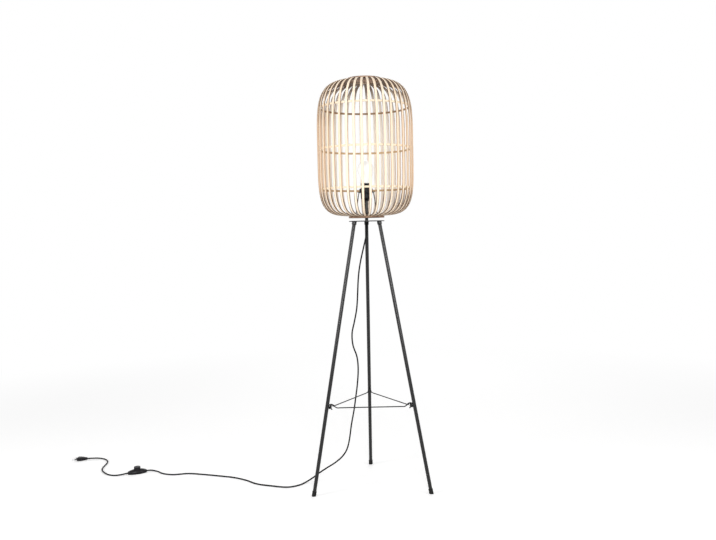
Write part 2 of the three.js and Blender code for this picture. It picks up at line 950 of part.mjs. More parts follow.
// Plug: lies flat, its cord end at its own origin and its pins towards +X
function plugBody() {
  const half = plugWidth / 2;
  const tip = plugTipWidth / 2;
  const shape = new THREE.Shape([
    point(0, -tip),
    point(plugTaper, -half * plugShoulderShare),
    point(plugLength - plugTaper / 2, -half),
    point(plugLength, -half),
    point(plugLength, half),
    point(plugLength - plugTaper / 2, half),
    point(plugTaper, half * plugShoulderShare),
    point(0, tip),
  ]);
  let body = solid(new THREE.ExtrudeGeometry(shape, { depth: plugThickness, bevelEnabled: false }));
  for (const side of [-1, 1]) {
    const hole = rod(plugPinRadius + clearance, plugLength - plugPinRoot, plugLength + cutOverrun);
    hole.rotateY(Math.PI / 2).translate(0, (side * plugPinSpacing) / 2, plugThickness / 2);
    body = body.subtract(solid(hole));
  }
  return toGeometry(body);
}

function addPlug() {
  const place = new THREE.Group();
  place.position.set(plugPlace[0], plugPlace[1], 0);
  place.rotation.z = plugTurn;
  add(place, 'plug_body', plugBody(), blackPlastic);
  for (const [name, side] of [
    ['plug_pin_left', 1],
    ['plug_pin_right', -1],
  ]) {
    const pin = rod(plugPinRadius, plugLength - plugPinRoot + clearance, plugLength + plugPinLength);
    pin.rotateY(Math.PI / 2).translate(0, (side * plugPinSpacing) / 2, plugThickness / 2);
    add(place, name, pin, steel);
  }
  lamp.add(place);
}

// Cord: a route's own points, with a straight lead out of what it leaves and into what it meets
function switchEnd(side, distance) {
  const along = side * (switchLength / 2 + distance);
  return vector(
    switchPlace[0] + along * Math.cos(switchTurn),
    switchPlace[1] + along * Math.sin(switchTurn),
    switchAxisHeight,
  );
}

function plugEnd(distance) {
  return vector(
    plugPlace[0] - distance * Math.cos(plugTurn),
    plugPlace[1] - distance * Math.sin(plugTurn),
    plugThickness / 2,
  );
}

function addCords() {
  const lead = cordRadius * 2;
  const route = (points) => points.map(([x, y, z]) => vector(x, y, z));
  const down = [
    vector(0, 0, glandTip - clearance),
    vector(0, 0, glandTip - clearance - lead),
    ...route(cordRoute),
    switchEnd(1, clearance + lead),
    switchEnd(1, clearance),
  ];
  const tail = [
    switchEnd(-1, clearance),
    switchEnd(-1, clearance + lead),
    ...route(tailRoute),
    plugEnd(clearance + lead),
    plugEnd(clearance),
  ];
  const cord = (points, steps) =>
    tube(new THREE.CatmullRomCurve3(points, false, 'centripetal'), cordRadius, steps, cordSides);
  add(lamp, 'cord_to_switch', cord(down, cordSteps), blackRubber);
  add(lamp, 'cord_to_plug', cord(tail, tailSteps), blackRubber);
}

addTripod();
addStem();
addHolder();
addShade();
addBulb();

// The lamp stands with the middle of its footprint, cord left out, over the origin
const footprint = new THREE.Box3().setFromObject(lamp, true);
lamp.position.y = -(footprint.min.y + footprint.max.y) / 2;

addSwitch();
addPlug();
addCords();

export default lamp;
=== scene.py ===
"""A rattan floor lamp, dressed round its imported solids.

A black steel tripod with a wire brace carries a squared globe of forty pale rattan slats on a
brown ring. A lamp holder and a frosted bulb stand inside, and a black cord runs from the tripod
to a foot switch and a flat plug on the floor. All sizes are in metres and all angles in radians.
"""

import functools
import logging
import math
from dataclasses import dataclass, field, replace
from enum import Enum
from typing import Callable, Iterable, Sequence

import bmesh
import bpy
from mathutils import Matrix, Vector


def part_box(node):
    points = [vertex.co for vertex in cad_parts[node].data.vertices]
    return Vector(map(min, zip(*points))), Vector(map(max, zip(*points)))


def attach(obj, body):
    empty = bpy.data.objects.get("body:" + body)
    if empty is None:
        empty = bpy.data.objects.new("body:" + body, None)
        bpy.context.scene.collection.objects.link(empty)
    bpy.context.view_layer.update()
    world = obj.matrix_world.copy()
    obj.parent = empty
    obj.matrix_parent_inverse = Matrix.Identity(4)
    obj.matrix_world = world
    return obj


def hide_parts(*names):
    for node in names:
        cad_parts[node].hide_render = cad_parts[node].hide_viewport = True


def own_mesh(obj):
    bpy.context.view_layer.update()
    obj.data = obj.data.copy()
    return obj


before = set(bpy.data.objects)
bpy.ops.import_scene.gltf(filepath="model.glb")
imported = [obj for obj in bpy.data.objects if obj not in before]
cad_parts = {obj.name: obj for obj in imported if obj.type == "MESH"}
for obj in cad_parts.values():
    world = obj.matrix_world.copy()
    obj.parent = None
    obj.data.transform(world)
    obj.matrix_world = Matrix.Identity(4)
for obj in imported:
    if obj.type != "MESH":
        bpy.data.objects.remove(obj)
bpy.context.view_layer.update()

LOG = logging.getLogger("lamp")
TURN = 2.0 * math.pi
# The clearance between pieces that fit together
FIT = 0.0003
# The cord's diameter
LEAD = 0.005
# Points nearer than this are one point
SAME = 1e-7
# Edges that turn more than this stay sharp
SHARP = 0.6
# The most of a side that a rounded corner takes up
CORNER_SHARE = 0.45
# From ring to ring of a side that carries a thread
THREAD_STEP = 0.0004
# The numbers of the sockets that several data types share by name: a Mix node's two colours and
# its mixed one, and a Random Value node's least and greatest number and its value
MIX_COLOURS, MIXED_COLOUR = (6, 7), 2
RANDOM_RANGE, RANDOM_VALUE = (2, 3), 1
WHITE = (1.0, 1.0, 1.0, 1.0)

Object = bpy.types.Object
Mesh = bpy.types.Mesh
Shape = bmesh.types.BMesh
Point = tuple[float, float, float]
Pair = tuple[float, float]
Colour = tuple[float, float, float]
Wave = Callable[[float, float], float]


class Side(Enum):
    """The two ends of the foot switch, by the direction along its length."""

    TOWARDS_LAMP = 1
    TOWARDS_PLUG = -1


class Leg(Enum):
    """The tripod's legs as their pieces name them, by the angle of each round the lamp's axis."""

    back = TURN / 4
    left = TURN * 7 / 12
    right = TURN * 11 / 12


class Pin(Enum):
    """The plug's pins as their pieces name them, by the side of its middle that each is on."""

    left = 1.0
    right = -1.0


class Carving(Enum):
    """What a Boolean does with the other meshes, by Blender's own names."""

    JOIN = "UNION"
    CUT = "DIFFERENCE"
    KEEP_WITHIN = "INTERSECT"


def axis_of_lamp() -> Vector:
    """Return the point on the floor under the lamp's own upright axis."""
    low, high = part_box("top_disc")
    return Vector(((low.x + high.x) / 2, (low.y + high.y) / 2, 0.0))


AXIS = axis_of_lamp()
ON_AXIS = Matrix.Translation(AXIS)
HERE = Matrix()


# Node trees


class Socket:
    """One output of a node; arithmetic on it adds Math nodes to its tree."""

    def __init__(self, tree: "Tree", source: bpy.types.NodeSocket) -> None:
        """Keep the tree that new nodes go into and the output socket."""
        self.tree = tree
        self.source = source

    def of(self, name: str | int) -> "Socket":
        """Return another output of the same node."""
        return Socket(self.tree, self.source.node.outputs[name])

    def maths(self, operation: str, *values: "Socket | float") -> "Socket":
        """Return what a Math node makes of the values."""
        return self.tree.node("ShaderNodeMath", {"operation": operation}, dict(enumerate(values)))

    def __add__(self, other: "Socket | float") -> "Socket":
        """Return the sum."""
        return self.maths("ADD", self, other)

    def __radd__(self, other: float) -> "Socket":
        """Return the sum with the number first."""
        return self.maths("ADD", other, self)

    def __sub__(self, other: "Socket | float") -> "Socket":
        """Return the difference."""
        return self.maths("SUBTRACT", self, other)

    def __rsub__(self, other: float) -> "Socket":
        """Return the number less this value."""
        return self.maths("SUBTRACT", other, self)

    def __mul__(self, other: "Socket | float") -> "Socket":
        """Return the product."""
        return self.maths("MULTIPLY", self, other)

    def __rmul__(self, other: float) -> "Socket":
        """Return the product with the number first."""
        return self.maths("MULTIPLY", other, self)

    def __truediv__(self, other: "Socket | float") -> "Socket":
        """Return the quotient."""
        return self.maths("DIVIDE", self, other)

    def __rtruediv__(self, other: float) -> "Socket":
        """Return the quotient of the number by this value."""
        return self.maths("DIVIDE", other, self)

    def __pow__(self, other: "Socket | float") -> "Socket":
        """Return the power."""
        return self.maths("POWER", self, other)

    def __gt__(self, other: "Socket | float") -> "Socket":
        """Return 1 where this value is the greater, and otherwise 0."""
        return self.maths("GREATER_THAN", self, other)

    def __abs__(self) -> "Socket":
        """Return the value without its sign."""
        return self.maths("ABSOLUTE", self)

    def rise(self, low: float, high: float) -> "Socket":
        """Return a smooth step from 0 at low to 1 at high; high may be the lesser.

        Args:
            low: Where the step starts.
            high: Where it ends.

        Returns:
            The step.
        """
        if high < low:
            return 1.0 - self.rise(high, low)
        return self.tree.node(
            "ShaderNodeMapRange",
            {"interpolation_type": "SMOOTHSTEP"},
            {"Value": self, "From Min": low, "From Max": high},
        )


class Tree:
    """A node tree of a material or of Geometry Nodes, with one method that makes its nodes."""

    def __init__(self, nodes: bpy.types.NodeTree) -> None:
        """Keep the tree that the nodes go into."""
        self.nodes = nodes

    def node(
        self,
        kind: str,
        settings: dict[str, object] | None = None,
        inputs: dict[str | int, object] | None = None,
        output: str | int = 0,
    ) -> Socket | None:
        """Add a node.

        Args:
            kind: The node's type.
            settings: Its properties, which are set first.
            inputs: Values or links of its sockets, by name or number.
            output: The output to return.

        Returns:
            That output, or nothing from a node without outputs.
        """
        made = self.nodes.nodes.new(kind)
        for name, value in (settings or {}).items():
            setattr(made, name, value)
        for name, value in (inputs or {}).items():
            if isinstance(value, Socket):
                self.nodes.links.new(value.source, made.inputs[name])
            else:
                made.inputs[name].default_value = value
        return Socket(self, made.outputs[output]) if len(made.outputs) else None

    def vector(self, x: Socket | float, y: Socket | float, z: Socket | float) -> Socket:
        """Return a vector of three values."""
        return self.node("ShaderNodeCombineXYZ", None, {"X": x, "Y": y, "Z": z})

    def stretched(self, vector: Socket, scale: Point) -> Socket:
        """Return the vector times a scale for each direction."""
        return self.node("ShaderNodeVectorMath", {"operation": "MULTIPLY"}, {0: vector, 1: scale})

    def noise(
        self, vector: Socket, scale: float, detail: float = 2.0, roughness: float = 0.5
    ) -> Socket:
        """Return a noise from 0 to 1 at a place, by its scale, its octaves and their strength."""
        inputs = {"Vector": vector, "Scale": scale, "Detail": detail, "Roughness": roughness}
        return self.node("ShaderNodeTexNoise", None, inputs)

    def mix(self, factor: Socket | float, a: object, b: object) -> Socket:
        """Return a colour between two others.

        Args:
            factor: 0 gives the first and 1 the second.
            a: The first colour, a link or three numbers.
            b: The second colour.

        Returns:
            The colour between them.
        """
        settings = {"data_type": "RGBA", "clamp_factor": True}
        first, second = MIX_COLOURS
        inputs = {0: factor, first: opaque(a), second: opaque(b)}
        return self.node("ShaderNodeMix", settings, inputs, output=MIXED_COLOUR)

    def split(self, vector: Socket) -> Socket:
        """Return a vector's X, whose node gives Y and Z too."""
        return self.node("ShaderNodeSeparateXYZ", None, {"Vector": vector})

    def read(self, name: str) -> Socket:
        """Return a mesh attribute's number."""
        return self.node("ShaderNodeAttribute", {"attribute_name": name}, output="Fac")

    def place(self) -> Socket:
        """Return the Object coordinates."""
        return self.node("ShaderNodeTexCoord", output="Object")

    def bump(self, height: Socket, depth: float) -> Socket:
        """Return a normal for a height, where a height of 1 stands for the depth."""
        inputs = {"Strength": 1.0, "Distance": depth, "Height": height}
        return self.node("ShaderNodeBump", None, inputs)


def opaque(colour: object) -> object:
    """Return three numbers as a colour with its alpha, and a link as it is."""
    return colour if isinstance(colour, Socket) else (*colour, 1.0)


# Finishes


@dataclass(frozen=True)
class Finish:
    """What a surface is made of and how it is finished."""

    name: str
    slot: str

    def surface(self, tree: Tree) -> dict[str, object]:
        """Return the shader's inputs by name; each finish has its own."""
        raise NotImplementedError

    @functools.cache
    def material(self) -> bpy.types.Material:
        """Return this finish's material, made once.

        Returns:
            The material.
        """
        made = bpy.data.materials.new(self.name)
        made.use_nodes = True
        made.node_tree.nodes.clear()
        tree = Tree(made.node_tree)
        shader = tree.node("ShaderNodeBsdfPrincipled", None, self.surface(tree))
        tree.node("ShaderNodeOutputMaterial", None, {"Surface": shader})
        return made


@dataclass(frozen=True)
class Rattan(Finish):
    """Split rattan: a pale lacquered face, its own inner face and brown sides, with painted shade
    at the bends and under the disc.

    Each strip has a random tone from 0 to 1, side from -1 to 1 across its width, depth from 0 at
    its inner face to 1 at its outer one, and along, the metres from its start. The shares and
    spans say how much of a colour shows and between which values it comes in.
    """

    pale: Colour
    warm: Colour
    edge: Colour
    heart: Colour
    # The colour of the painted shade at the bends and under the disc
    painted_shade: Colour
    fibre_scale: Point = (5.0, 3.0, 16.0)
    fibre_shift: float = 37.0
    fibre_span: Pair = (0.45, 0.8)
    fibre_share: float = 0.3
    fibre_depth: float = 0.00012
    cloud_scale: Point = (91.0, 0.4, 7.0)
    warm_shares: Pair = (0.6, 0.8)
    warm_span: Pair = (0.3, 1.1)
    edge_start: float = 0.9
    edge_share: float = 0.7
    edge_rag: float = 0.12
    # More of the side colour where the painted shade falls at the bends
    bend_shade_edge_share: float = 0.2
    heart_span: Pair = (0.6, 1.0)
    heart_share: float = 0.85
    # Painted shade: its weight on the inner face, the levels of the upper and lower bends where it
    # falls, how far it widens the sides low down, the levels under the disc and the inner faces
    # there, and its share
    heart_shade: float = 0.5
    high_bend: Pair = (1.165, 1.3)
    low_bend: Pair = (1.01, 0.95)
    low_shade_widening: float = 0.2
    under_disc: Pair = (1.29, 1.345)
    inner_span: Pair = (0.2, 0.8)
    painted_shade_share: float = 0.0
    roughness: float = 0.42
    roughness_range: float = 0.22
    gloss: float = 0.2

    def surface(self, tree: Tree) -> dict[str, object]:
        """Return the inputs, from the strip's own attributes.

        Args:
            tree: The material's tree.

        Returns:
            The inputs by name.
        """
        tone, side, depth, along = (tree.read(name) for name in ("tone", "side", "depth", "along"))
        across, deep, length = self.fibre_scale
        strand = tree.vector(side * across + tone * self.fibre_shift, depth * deep, along * length)
        fibres = tree.noise(strand, 1.0, detail=4.0, roughness=0.6)
        apart, across, length = self.cloud_scale
        cloud = tree.noise(tree.vector(tone * apart, side * across, along * length), 1.0)
        from_tone, from_cloud = self.warm_shares
        warmth = tone * from_tone + cloud * from_cloud
        face = tree.mix(warmth.rise(*self.warm_span), self.pale, self.warm)
        streaked = tree.mix(fibres.rise(*self.fibre_span) * self.fibre_share, face, self.edge)
        # Painted shade: the sides and inner faces darken towards the shade colour at the lower and
        # upper bends, and the side colour spreads wider at the lower bend
        level = tree.split(tree.place()).of("Z")
        low = level.rise(*self.low_bend) * self.painted_shade_share
        bent = level.rise(*self.high_bend) * self.painted_shade_share + low
        ragged = abs(side) + (fibres - 0.5) * self.edge_rag + low * self.low_shade_widening
        sides = tree.mix(bent, self.edge, self.painted_shade)
        edge_share = self.edge_share + bent * self.bend_shade_edge_share
        sawn = tree.mix(ragged.rise(self.edge_start, 1.0) * edge_share, streaked, sides)
        heart = tree.mix(bent * self.heart_shade, self.heart, self.painted_shade)
        inward = 1.0 - depth
        cored = tree.mix(inward.rise(*self.heart_span) * self.heart_share, sawn, heart)
        # Painted shade on the inner faces under the disc
        inside = inward.rise(*self.inner_span) * level.rise(*self.under_disc) * self.painted_shade_share
        return {
            "Base Color": tree.mix(inside, cored, self.painted_shade),
            "Roughness": fibres * self.roughness_range + self.roughness,
            "Specular IOR Level": self.gloss,
            "Normal": tree.bump(fibres, self.fibre_depth),
        }


@dataclass(frozen=True)
class StainedWood(Finish):
    """Brown stained wood with its grain along X."""

    dark: Colour
    light: Colour
    grain_scale: Point = (9.0, 90.0, 120.0)
    grain_span: Pair = (0.3, 0.7)
    pore_scale: Point = (60.0, 1400.0, 1400.0)
    pore_span: Pair = (0.55, 0.75)
    pore_share: float = 0.35
    pore_depth: float = 0.0002
    roughness: float = 0.5
    roughness_range: float = 0.15

    def surface(self, tree: Tree) -> dict[str, object]:
        """Return the inputs, from Object coordinates.

        Args:
            tree: The material's tree.

        Returns:
            The inputs by name.
        """
        place = tree.place()
        rings = tree.noise(tree.stretched(place, self.grain_scale), 1.0, detail=3.0, roughness=0.6)
        pores = tree.noise(tree.stretched(place, self.pore_scale), 1.0, roughness=0.6)
        body = tree.mix(rings.rise(*self.grain_span), self.dark, self.light)
        return {
            "Base Color": tree.mix(pores.rise(*self.pore_span) * self.pore_share, body, self.dark),
            "Roughness": rings * self.roughness_range + self.roughness,
            "Normal": tree.bump(pores, self.pore_depth),
        }


@dataclass(frozen=True)
class Coat(Finish):
    """A coat, moulding or sheath of one colour with a fine texture."""

    colour: Colour
    worn: Colour
    grain: float
    depth: float
    roughness: float
    gloss: float = 0.5
    lacquer: float = 0.0
    # Painted light: an emission that brightens the surface, though nothing in it is switched on
    painted_glow: float = 0.0
    cloud_scale: float = 14.0
    worn_span: Pair = (0.4, 0.7)
    cloud_range: float = 0.12
    grain_range: float = 0.06
    lacquer_roughness: float = 0.08

    def surface(self, tree: Tree) -> dict[str, object]:
        """Return the inputs, from Object coordinates.

        Args:
            tree: The material's tree.

        Returns:
            The inputs by name.
        """
        place = tree.place()
        fine = tree.noise(place, self.grain)
        cloud = tree.noise(place, self.cloud_scale, detail=3.0)
        mean = fine * 0.5 + cloud * 0.5
        return {
            "Base Color": tree.mix(mean.rise(*self.worn_span), self.colour, self.worn),
            "Roughness": cloud * self.cloud_range + fine * self.grain_range + self.roughness,
            "Specular IOR Level": self.gloss,
            "Coat Weight": self.lacquer,
            "Coat Roughness": self.lacquer_roughness,
            # Painted glow, none unless a finish sets it
            "Emission Color": opaque(self.colour),
            "Emission Strength": self.painted_glow,
            "Normal": tree.bump(fine, self.depth),
        }


@dataclass(frozen=True)
class BareMetal(Finish):
    """Plain metal, faintly brushed and tarnished."""

    colour: Colour
    dull: Colour
    brush_scale: Point = (300.0, 300.0, 4000.0)
    brush_depth: float = 0.00003
    brush_range: float = 0.12
    tarnish_scale: float = 120.0
    tarnish_span: Pair = (0.4, 0.75)
    tarnish_range: float = 0.15
    roughness: float = 0.28

    def surface(self, tree: Tree) -> dict[str, object]:
        """Return the inputs, from Object coordinates.

        Args:
            tree: The material's tree.

        Returns:
            The inputs by name.
        """
        place = tree.place()
        brushed = tree.noise(tree.stretched(place, self.brush_scale), 1.0)
        tarnish = tree.noise(place, self.tarnish_scale, detail=4.0, roughness=0.6)
        return {
            "Base Color": tree.mix(tarnish.rise(*self.tarnish_span), self.colour, self.dull),
            "Metallic": 1.0,
            "Roughness": brushed * self.brush_range + tarnish * self.tarnish_range + self.roughness,
            "Normal": tree.bump(brushed, self.brush_depth),
        }


SLAT_CANE = Rattan(
    "slat_rattan",
    "rattan",
    pale=(0.97, 0.83, 0.66),
    warm=(0.95, 0.765, 0.57),
    edge=(0.56, 0.32, 0.16),
    heart=(0.99, 0.915, 0.82),
    # Painted shade: dark brown on the slats' sides and inner faces at the bends and under the disc
    painted_shade=(0.085, 0.037, 0.015),
    edge_start=0.76,
    edge_share=0.85,
    painted_shade_share=0.9,
    heart_shade=0.15,
)
HOOP_CANE = Rattan(
    "hoop_rattan",
    "rattan",
    pale=(0.95, 0.84, 0.66),
    warm=(0.93, 0.78, 0.57),
    edge=(0.42, 0.27, 0.15),
    heart=(0.66, 0.46, 0.26),
    # Painted shade, as on the slats, where a hoop lies within the levels of the bends
    painted_shade=(0.20, 0.11, 0.06),
    edge_share=0.4,
    heart_share=1.0,
    painted_shade_share=0.9,
    heart_shade=1.0,
)
BROWN_WOOD = StainedWood(
    "brown_ring_wood", "brown_wood", dark=(0.18, 0.10, 0.06), light=(0.38, 0.235, 0.15)
)
BLACK_STEEL = Coat(
    "black_powder_coat",
    "black_steel",
    colour=(0.003, 0.003, 0.0035),
    worn=(0.006, 0.006, 0.0065),
    grain=1500.0,
    depth=0.00003,
    roughness=0.16,
    gloss=0.42,
)
FOOT_RUBBER = Coat(
    "foot_rubber",
    "black_rubber",
    colour=(0.008, 0.008, 0.008),
    worn=(0.018, 0.018, 0.017),
    grain=900.0,
    depth=0.00006,
    roughness=0.62,
    gloss=0.2,
)
BLACK_WIRE = replace(BLACK_STEEL, name="black_wire_coat", roughness=0.34, gloss=0.1)
SHEATH = Coat(
    "cord_sheath",
    "black_cord",
    colour=(0.004, 0.004, 0.0045),
    worn=(0.008, 0.008, 0.009),
    grain=700.0,
    depth=0.00004,
    roughness=0.46,
    gloss=0.08,
)
MOULDED = Coat(
    "black_moulding",
    "black_plastic",
    colour=(0.005, 0.0045, 0.006),
    worn=(0.009, 0.008, 0.011),
    grain=2600.0,
    depth=0.00004,
    roughness=0.25,
    gloss=0.22,
)
PORCELAIN = Coat(
    "porcelain",
    "ceramic",
    colour=(0.82, 0.80, 0.75),
    worn=(0.74, 0.71, 0.65),
    grain=300.0,
    depth=0.00003,
    roughness=0.22,
    lacquer=0.4,
)
OPAL_GLASS = Coat(
    "frosted_bulb_glass",
    "frosted_glass",
    colour=(0.95, 0.95, 0.94),
    worn=(0.93, 0.93, 0.91),
    grain=2200.0,
    depth=0.00001,
    roughness=0.16,
    lacquer=0.3,
    # Painted light: the unlit bulb glows faintly, standing in for the light that its frosted glass
    # scatters
    painted_glow=0.2,
)
BRASS = BareMetal("pressed_brass", "brass", colour=(0.70, 0.52, 0.26), dull=(0.48, 0.34, 0.16))
STEEL = BareMetal("bright_steel", "steel", colour=(0.66, 0.66, 0.66), dull=(0.45, 0.45, 0.46))


# Meshes


def linked(name: str, data: bpy.types.ID) -> Object:
    """Make an object in the scene.

    Args:
        name: Its name.
        data: Its mesh, curve, camera or lamp.

    Returns:
        The object.
    """
    made = bpy.data.objects.new(name, data)
    bpy.context.scene.collection.objects.link(made)
    return made


def keep(name: str, mesh: Mesh, finish: Finish, crease: float = SHARP) -> Object:
    """Make an object of a finished mesh.

    Args:
        name: The piece's name.
        mesh: Its mesh, in the row frame.
        finish: Its finish.
        crease: Edges that turn more than this stay sharp.

    Returns:
        The object, linked to the scene.
    """
    mesh.name = name
    mesh.materials.clear()
    mesh.materials.append(finish.material())
    mesh.polygons.foreach_set("material_index", [0] * len(mesh.polygons))
    mesh.shade_smooth()
    mesh.set_sharp_from_angle(angle=crease)
    made = linked(name, mesh)
    return made


def mesh_of(shape: Shape) -> Mesh:
    """Return a plain mesh of a shape, with its faces turned outwards.

    Args:
        shape: The shape, which is freed.

    Returns:
        The mesh.
    """
    bmesh.ops.remove_doubles(shape, verts=shape.verts, dist=SAME)
    bmesh.ops.recalc_face_normals(shape, faces=shape.faces)
    if shape.calc_volume(signed=True) < 0:
        bmesh.ops.reverse_faces(shape, faces=shape.faces)
    mesh = bpy.data.meshes.new("shape")
    shape.to_mesh(mesh)
    shape.free()
    return mesh


def loft(rings: Sequence[Sequence[Vector]], closed: bool = False) -> Shape:
    """Join rings of as many points each; a ring of one point closes an end.

    Args:
        rings: The rings, in order.
        closed: Whether the last ring joins the first.

    Returns:
        The shape. Open ends are capped.
    """
    shape = bmesh.new()
    made = [[shape.verts.new(point) for point in ring] for ring in rings]
    pairs = list(zip(made, made[1:] + made[:1])) if closed else list(zip(made, made[1:]))
    for low, high in pairs:
        for i in range(max(len(low), len(high))):
            under = [low[k % len(low)] for k in (i, i + 1)]
            over = [high[k % len(high)] for k in (i + 1, i)]
            shape.faces.new(list(dict.fromkeys(under + over)))
    if not closed:
        for ring in (made[0], made[-1]):
            if len(ring) > 2:
                shape.faces.new(ring)
    return shape


def lathe(
    profile: Sequence[Pair], sides: int, closed: bool = False, wave: Wave | None = None
) -> Shape:
    """Turn a profile about Z.

    Args:
        profile: Radius and height of each point; a radius of 0 lies on the axis.
        sides: Points round.
        closed: Whether the profile closes on itself.
        wave: What to add to the radius at an angle and a height, such as a thread.

    Returns:
        The turned shape.
    """
    rings = []
    for radius, height in profile:
        if radius < SAME:
            rings.append([Vector((0.0, 0.0, height))])
            continue
        ring = []
        for i in range(sides):
            angle = TURN * i / sides
            wide = radius + (wave(angle, height) if wave else 0.0)
            ring.append(Vector((wide * math.cos(angle), wide * math.sin(angle), height)))
        rings.append(ring)
    return loft(rings, closed)


def rounded(
    profile: Sequence[Pair], radius: float, steps: int = 3, closed: bool = False
) -> list[Pair]:
    """Round the corners of a profile.

    Args:
        profile: Its points.
        radius: How far the rounding reaches along each side, at most.
        steps: Pieces of each rounding.
        closed: Whether the profile closes on itself.

    Returns:
        The points of the rounded profile.
    """
    points = [Vector(point) for point in profile]
    made: list[Pair] = []
    for i, point in enumerate(points):
        if not closed and i in (0, len(points) - 1):
            made.append(tuple(point))
            continue
        before, after = points[i - 1] - point, points[(i + 1) % len(points)] - point
        back = min(radius, before.length * CORNER_SHARE)
        on = min(radius, after.length * CORNER_SHARE)
        start, end = point + before.normalized() * back, point + after.normalized() * on
        for k in range(steps + 1):
            share = k / steps
            first, second = start.lerp(point, share), point.lerp(end, share)
            made.append(tuple(first.lerp(second, share)))
    return made


def curve_through(points: Sequence[Vector], steps: int, closed: bool = False) -> list[Vector]:
    """Follow a centripetal Catmull-Rom curve.

    Args:
        points: The points that it passes.
        steps: Pieces between each two of them.
        closed: Whether it closes on itself.

    Returns:
        Points on the curve; an open one has both its ends.
    """
    count = len(points)
    padded = list(points)
    if closed:
        padded = [padded[-1], *padded, padded[0], padded[1]]
    else:
        first, last = padded[0] * 2 - padded[1], padded[-1] * 2 - padded[-2]
        padded = [first, *padded, last]
    made = []
    for i in range(count if closed else count - 1):
        p0, p1, p2, p3 = padded[i : i + 4]
        t0, t1, t2 = ((b - a).length ** 0.5 for a, b in ((p0, p1), (p1, p2), (p2, p3)))
        lead = ((p1 - p0) / t0 - (p2 - p0) / (t0 + t1) + (p2 - p1) / t1) * t1
        tail = ((p2 - p1) / t1 - (p3 - p1) / (t1 + t2) + (p3 - p2) / t2) * t1
        for k in range(steps):
            t = k / steps
            square, cube = t * t, t * t * t
            made.append(
                p1 * (2 * cube - 3 * square + 1)
                + lead * (cube - 2 * square + t)
                + p2 * (3 * square - 2 * cube)
                + tail * (cube - square)
            )
    if not closed:
        made.append(points[-1].copy())
    return made


def carve(body: Mesh, others: Iterable[Mesh], carving: Carving) -> Mesh:
    """Join meshes to a body, cut them from it, or keep what lies within them.

    Args:
        body: The mesh to start from.
        others: The other meshes.
        carving: What is done with them.

    Returns:
        The new mesh.
    """
    target = linked("body", body)
    tools = [linked("tool", other) for other in others]
    for tool in tools:
        modifier = target.modifiers.new("carve", "BOOLEAN")
        modifier.operation, modifier.solver, modifier.object = carving.value, "EXACT", tool
    made = evaluated(target)
    for used in (target, *tools):
        bpy.data.objects.remove(used)
    return made


def evaluated(carrier: Object) -> Mesh:
    """Return a plain mesh of an object with its modifiers done.

    Args:
        carrier: The object.

    Returns:
        The new mesh.
    """
    bpy.context.view_layer.update()
    graph = bpy.context.evaluated_depsgraph_get()
    return bpy.data.meshes.new_from_object(
        carrier.evaluated_get(graph), preserve_all_data_layers=True, depsgraph=graph
    )


def softened(mesh: Mesh, width: float, segments: int = 2, angle: float = SHARP) -> Mesh:
    """Bevel a mesh's sharp edges.

    Args:
        mesh: The mesh.
        width: The bevel's width.
        segments: Its pieces.
        angle: Edges that turn more than this are bevelled.

    Returns:
        The bevelled mesh.
    """
    carrier = linked("soften", mesh)
    modifier = carrier.modifiers.new("bevel", "BEVEL")
    modifier.width, modifier.segments = width, segments
    modifier.limit_method, modifier.angle_limit = "ANGLE", angle
    modifier.use_clamp_overlap = True
    made = evaluated(carrier)
    bpy.data.objects.remove(carrier)
    return made


def placed(shape: Shape, move: Matrix) -> Shape:
    """Move a shape and return it."""
    bmesh.ops.transform(shape, matrix=move, verts=shape.verts)
    return shape


def spun(
    profile: Sequence[Pair],
    sides: int,
    corner: float = 0.0,
    steps: int = 3,
    closed: bool = False,
    wave: Wave | None = None,
    move: Matrix = ON_AXIS,
) -> Mesh:
    """Turn a profile and move what it makes, by default to the lamp's axis.

    Args:
        profile: Radius and height of each point.
        sides: Points round.
        corner: How far the rounding of its corners reaches.
        steps: Pieces of each rounding.
        closed: Whether the profile closes on itself.
        wave: What to add to the radius at an angle and a height.
        move: The move.

    Returns:
        The turned mesh.
    """
    if corner:
        profile = rounded(profile, corner, steps, closed)
    return mesh_of(placed(lathe(profile, sides, closed, wave), move))


def band(inner: float, outer: float, low: float, high: float) -> list[Pair]:
    """Return the profile of a plain ring, or of a round bar where the inner radius is 0."""
    return [(inner, low), (outer, low), (outer, high), (inner, high)]


def level_square(half: float, level: float) -> list[Vector]:
    """Return the corners of a level square about the origin, by half its side."""
    corners = ((-half, -half), (half, -half), (half, half), (-half, half))
    return [Vector((x, y, level)) for x, y in corners]


@dataclass(frozen=True)
class Groove:
    """A groove round a turned side: its depth, where its floor starts and ends, and its width."""

    depth: float
    floor: Pair
    width: float

    def points(self, radius: float, low: float) -> list[Pair]:
        """Return the groove's profile in a side of the radius.

        Args:
            radius: The side's radius.
            low: The level where the groove starts.

        Returns:
            Its four points, upwards.
        """
        start, end = self.floor
        inner = radius - self.depth
        return [(radius, low), (inner, low + start), (inner, low + end), (radius, low + self.width)]


def thread(pitch: float, depth: float, start: float = -math.inf, end: float = math.inf) -> Wave:
    """Return what a thread adds to a radius.

    Args:
        pitch: From one turn to the next.
        depth: From the mean radius to the crest.
        start: The height where the thread begins.
        end: The height where it ends.

    Returns:
        A function of angle and height.
    """

    def ridge(angle: float, height: float) -> float:
        """Return the ridge's height at a place."""
        return depth * math.cos(angle - TURN * height / pitch) if start < height < end else 0.0

    return ridge


def threaded_rings(radius: float, low: float, high: float) -> list[Pair]:
    """Return a straight side with enough rings to carry a thread."""
    count = max(1, math.ceil(abs(high - low) / THREAD_STEP))
    return [(radius, low + (high - low) * i / count) for i in range(count + 1)]


def at(x: float = 0.0, y: float = 0.0, z: float = 0.0) -> Matrix:
    """Return a move."""
    return Matrix.Translation((x, y, z))


def turn(angle: float, axis: str) -> Matrix:
    """Return a turn about X, Y or Z."""
    return Matrix.Rotation(angle, 4, axis)


# Geometry Nodes


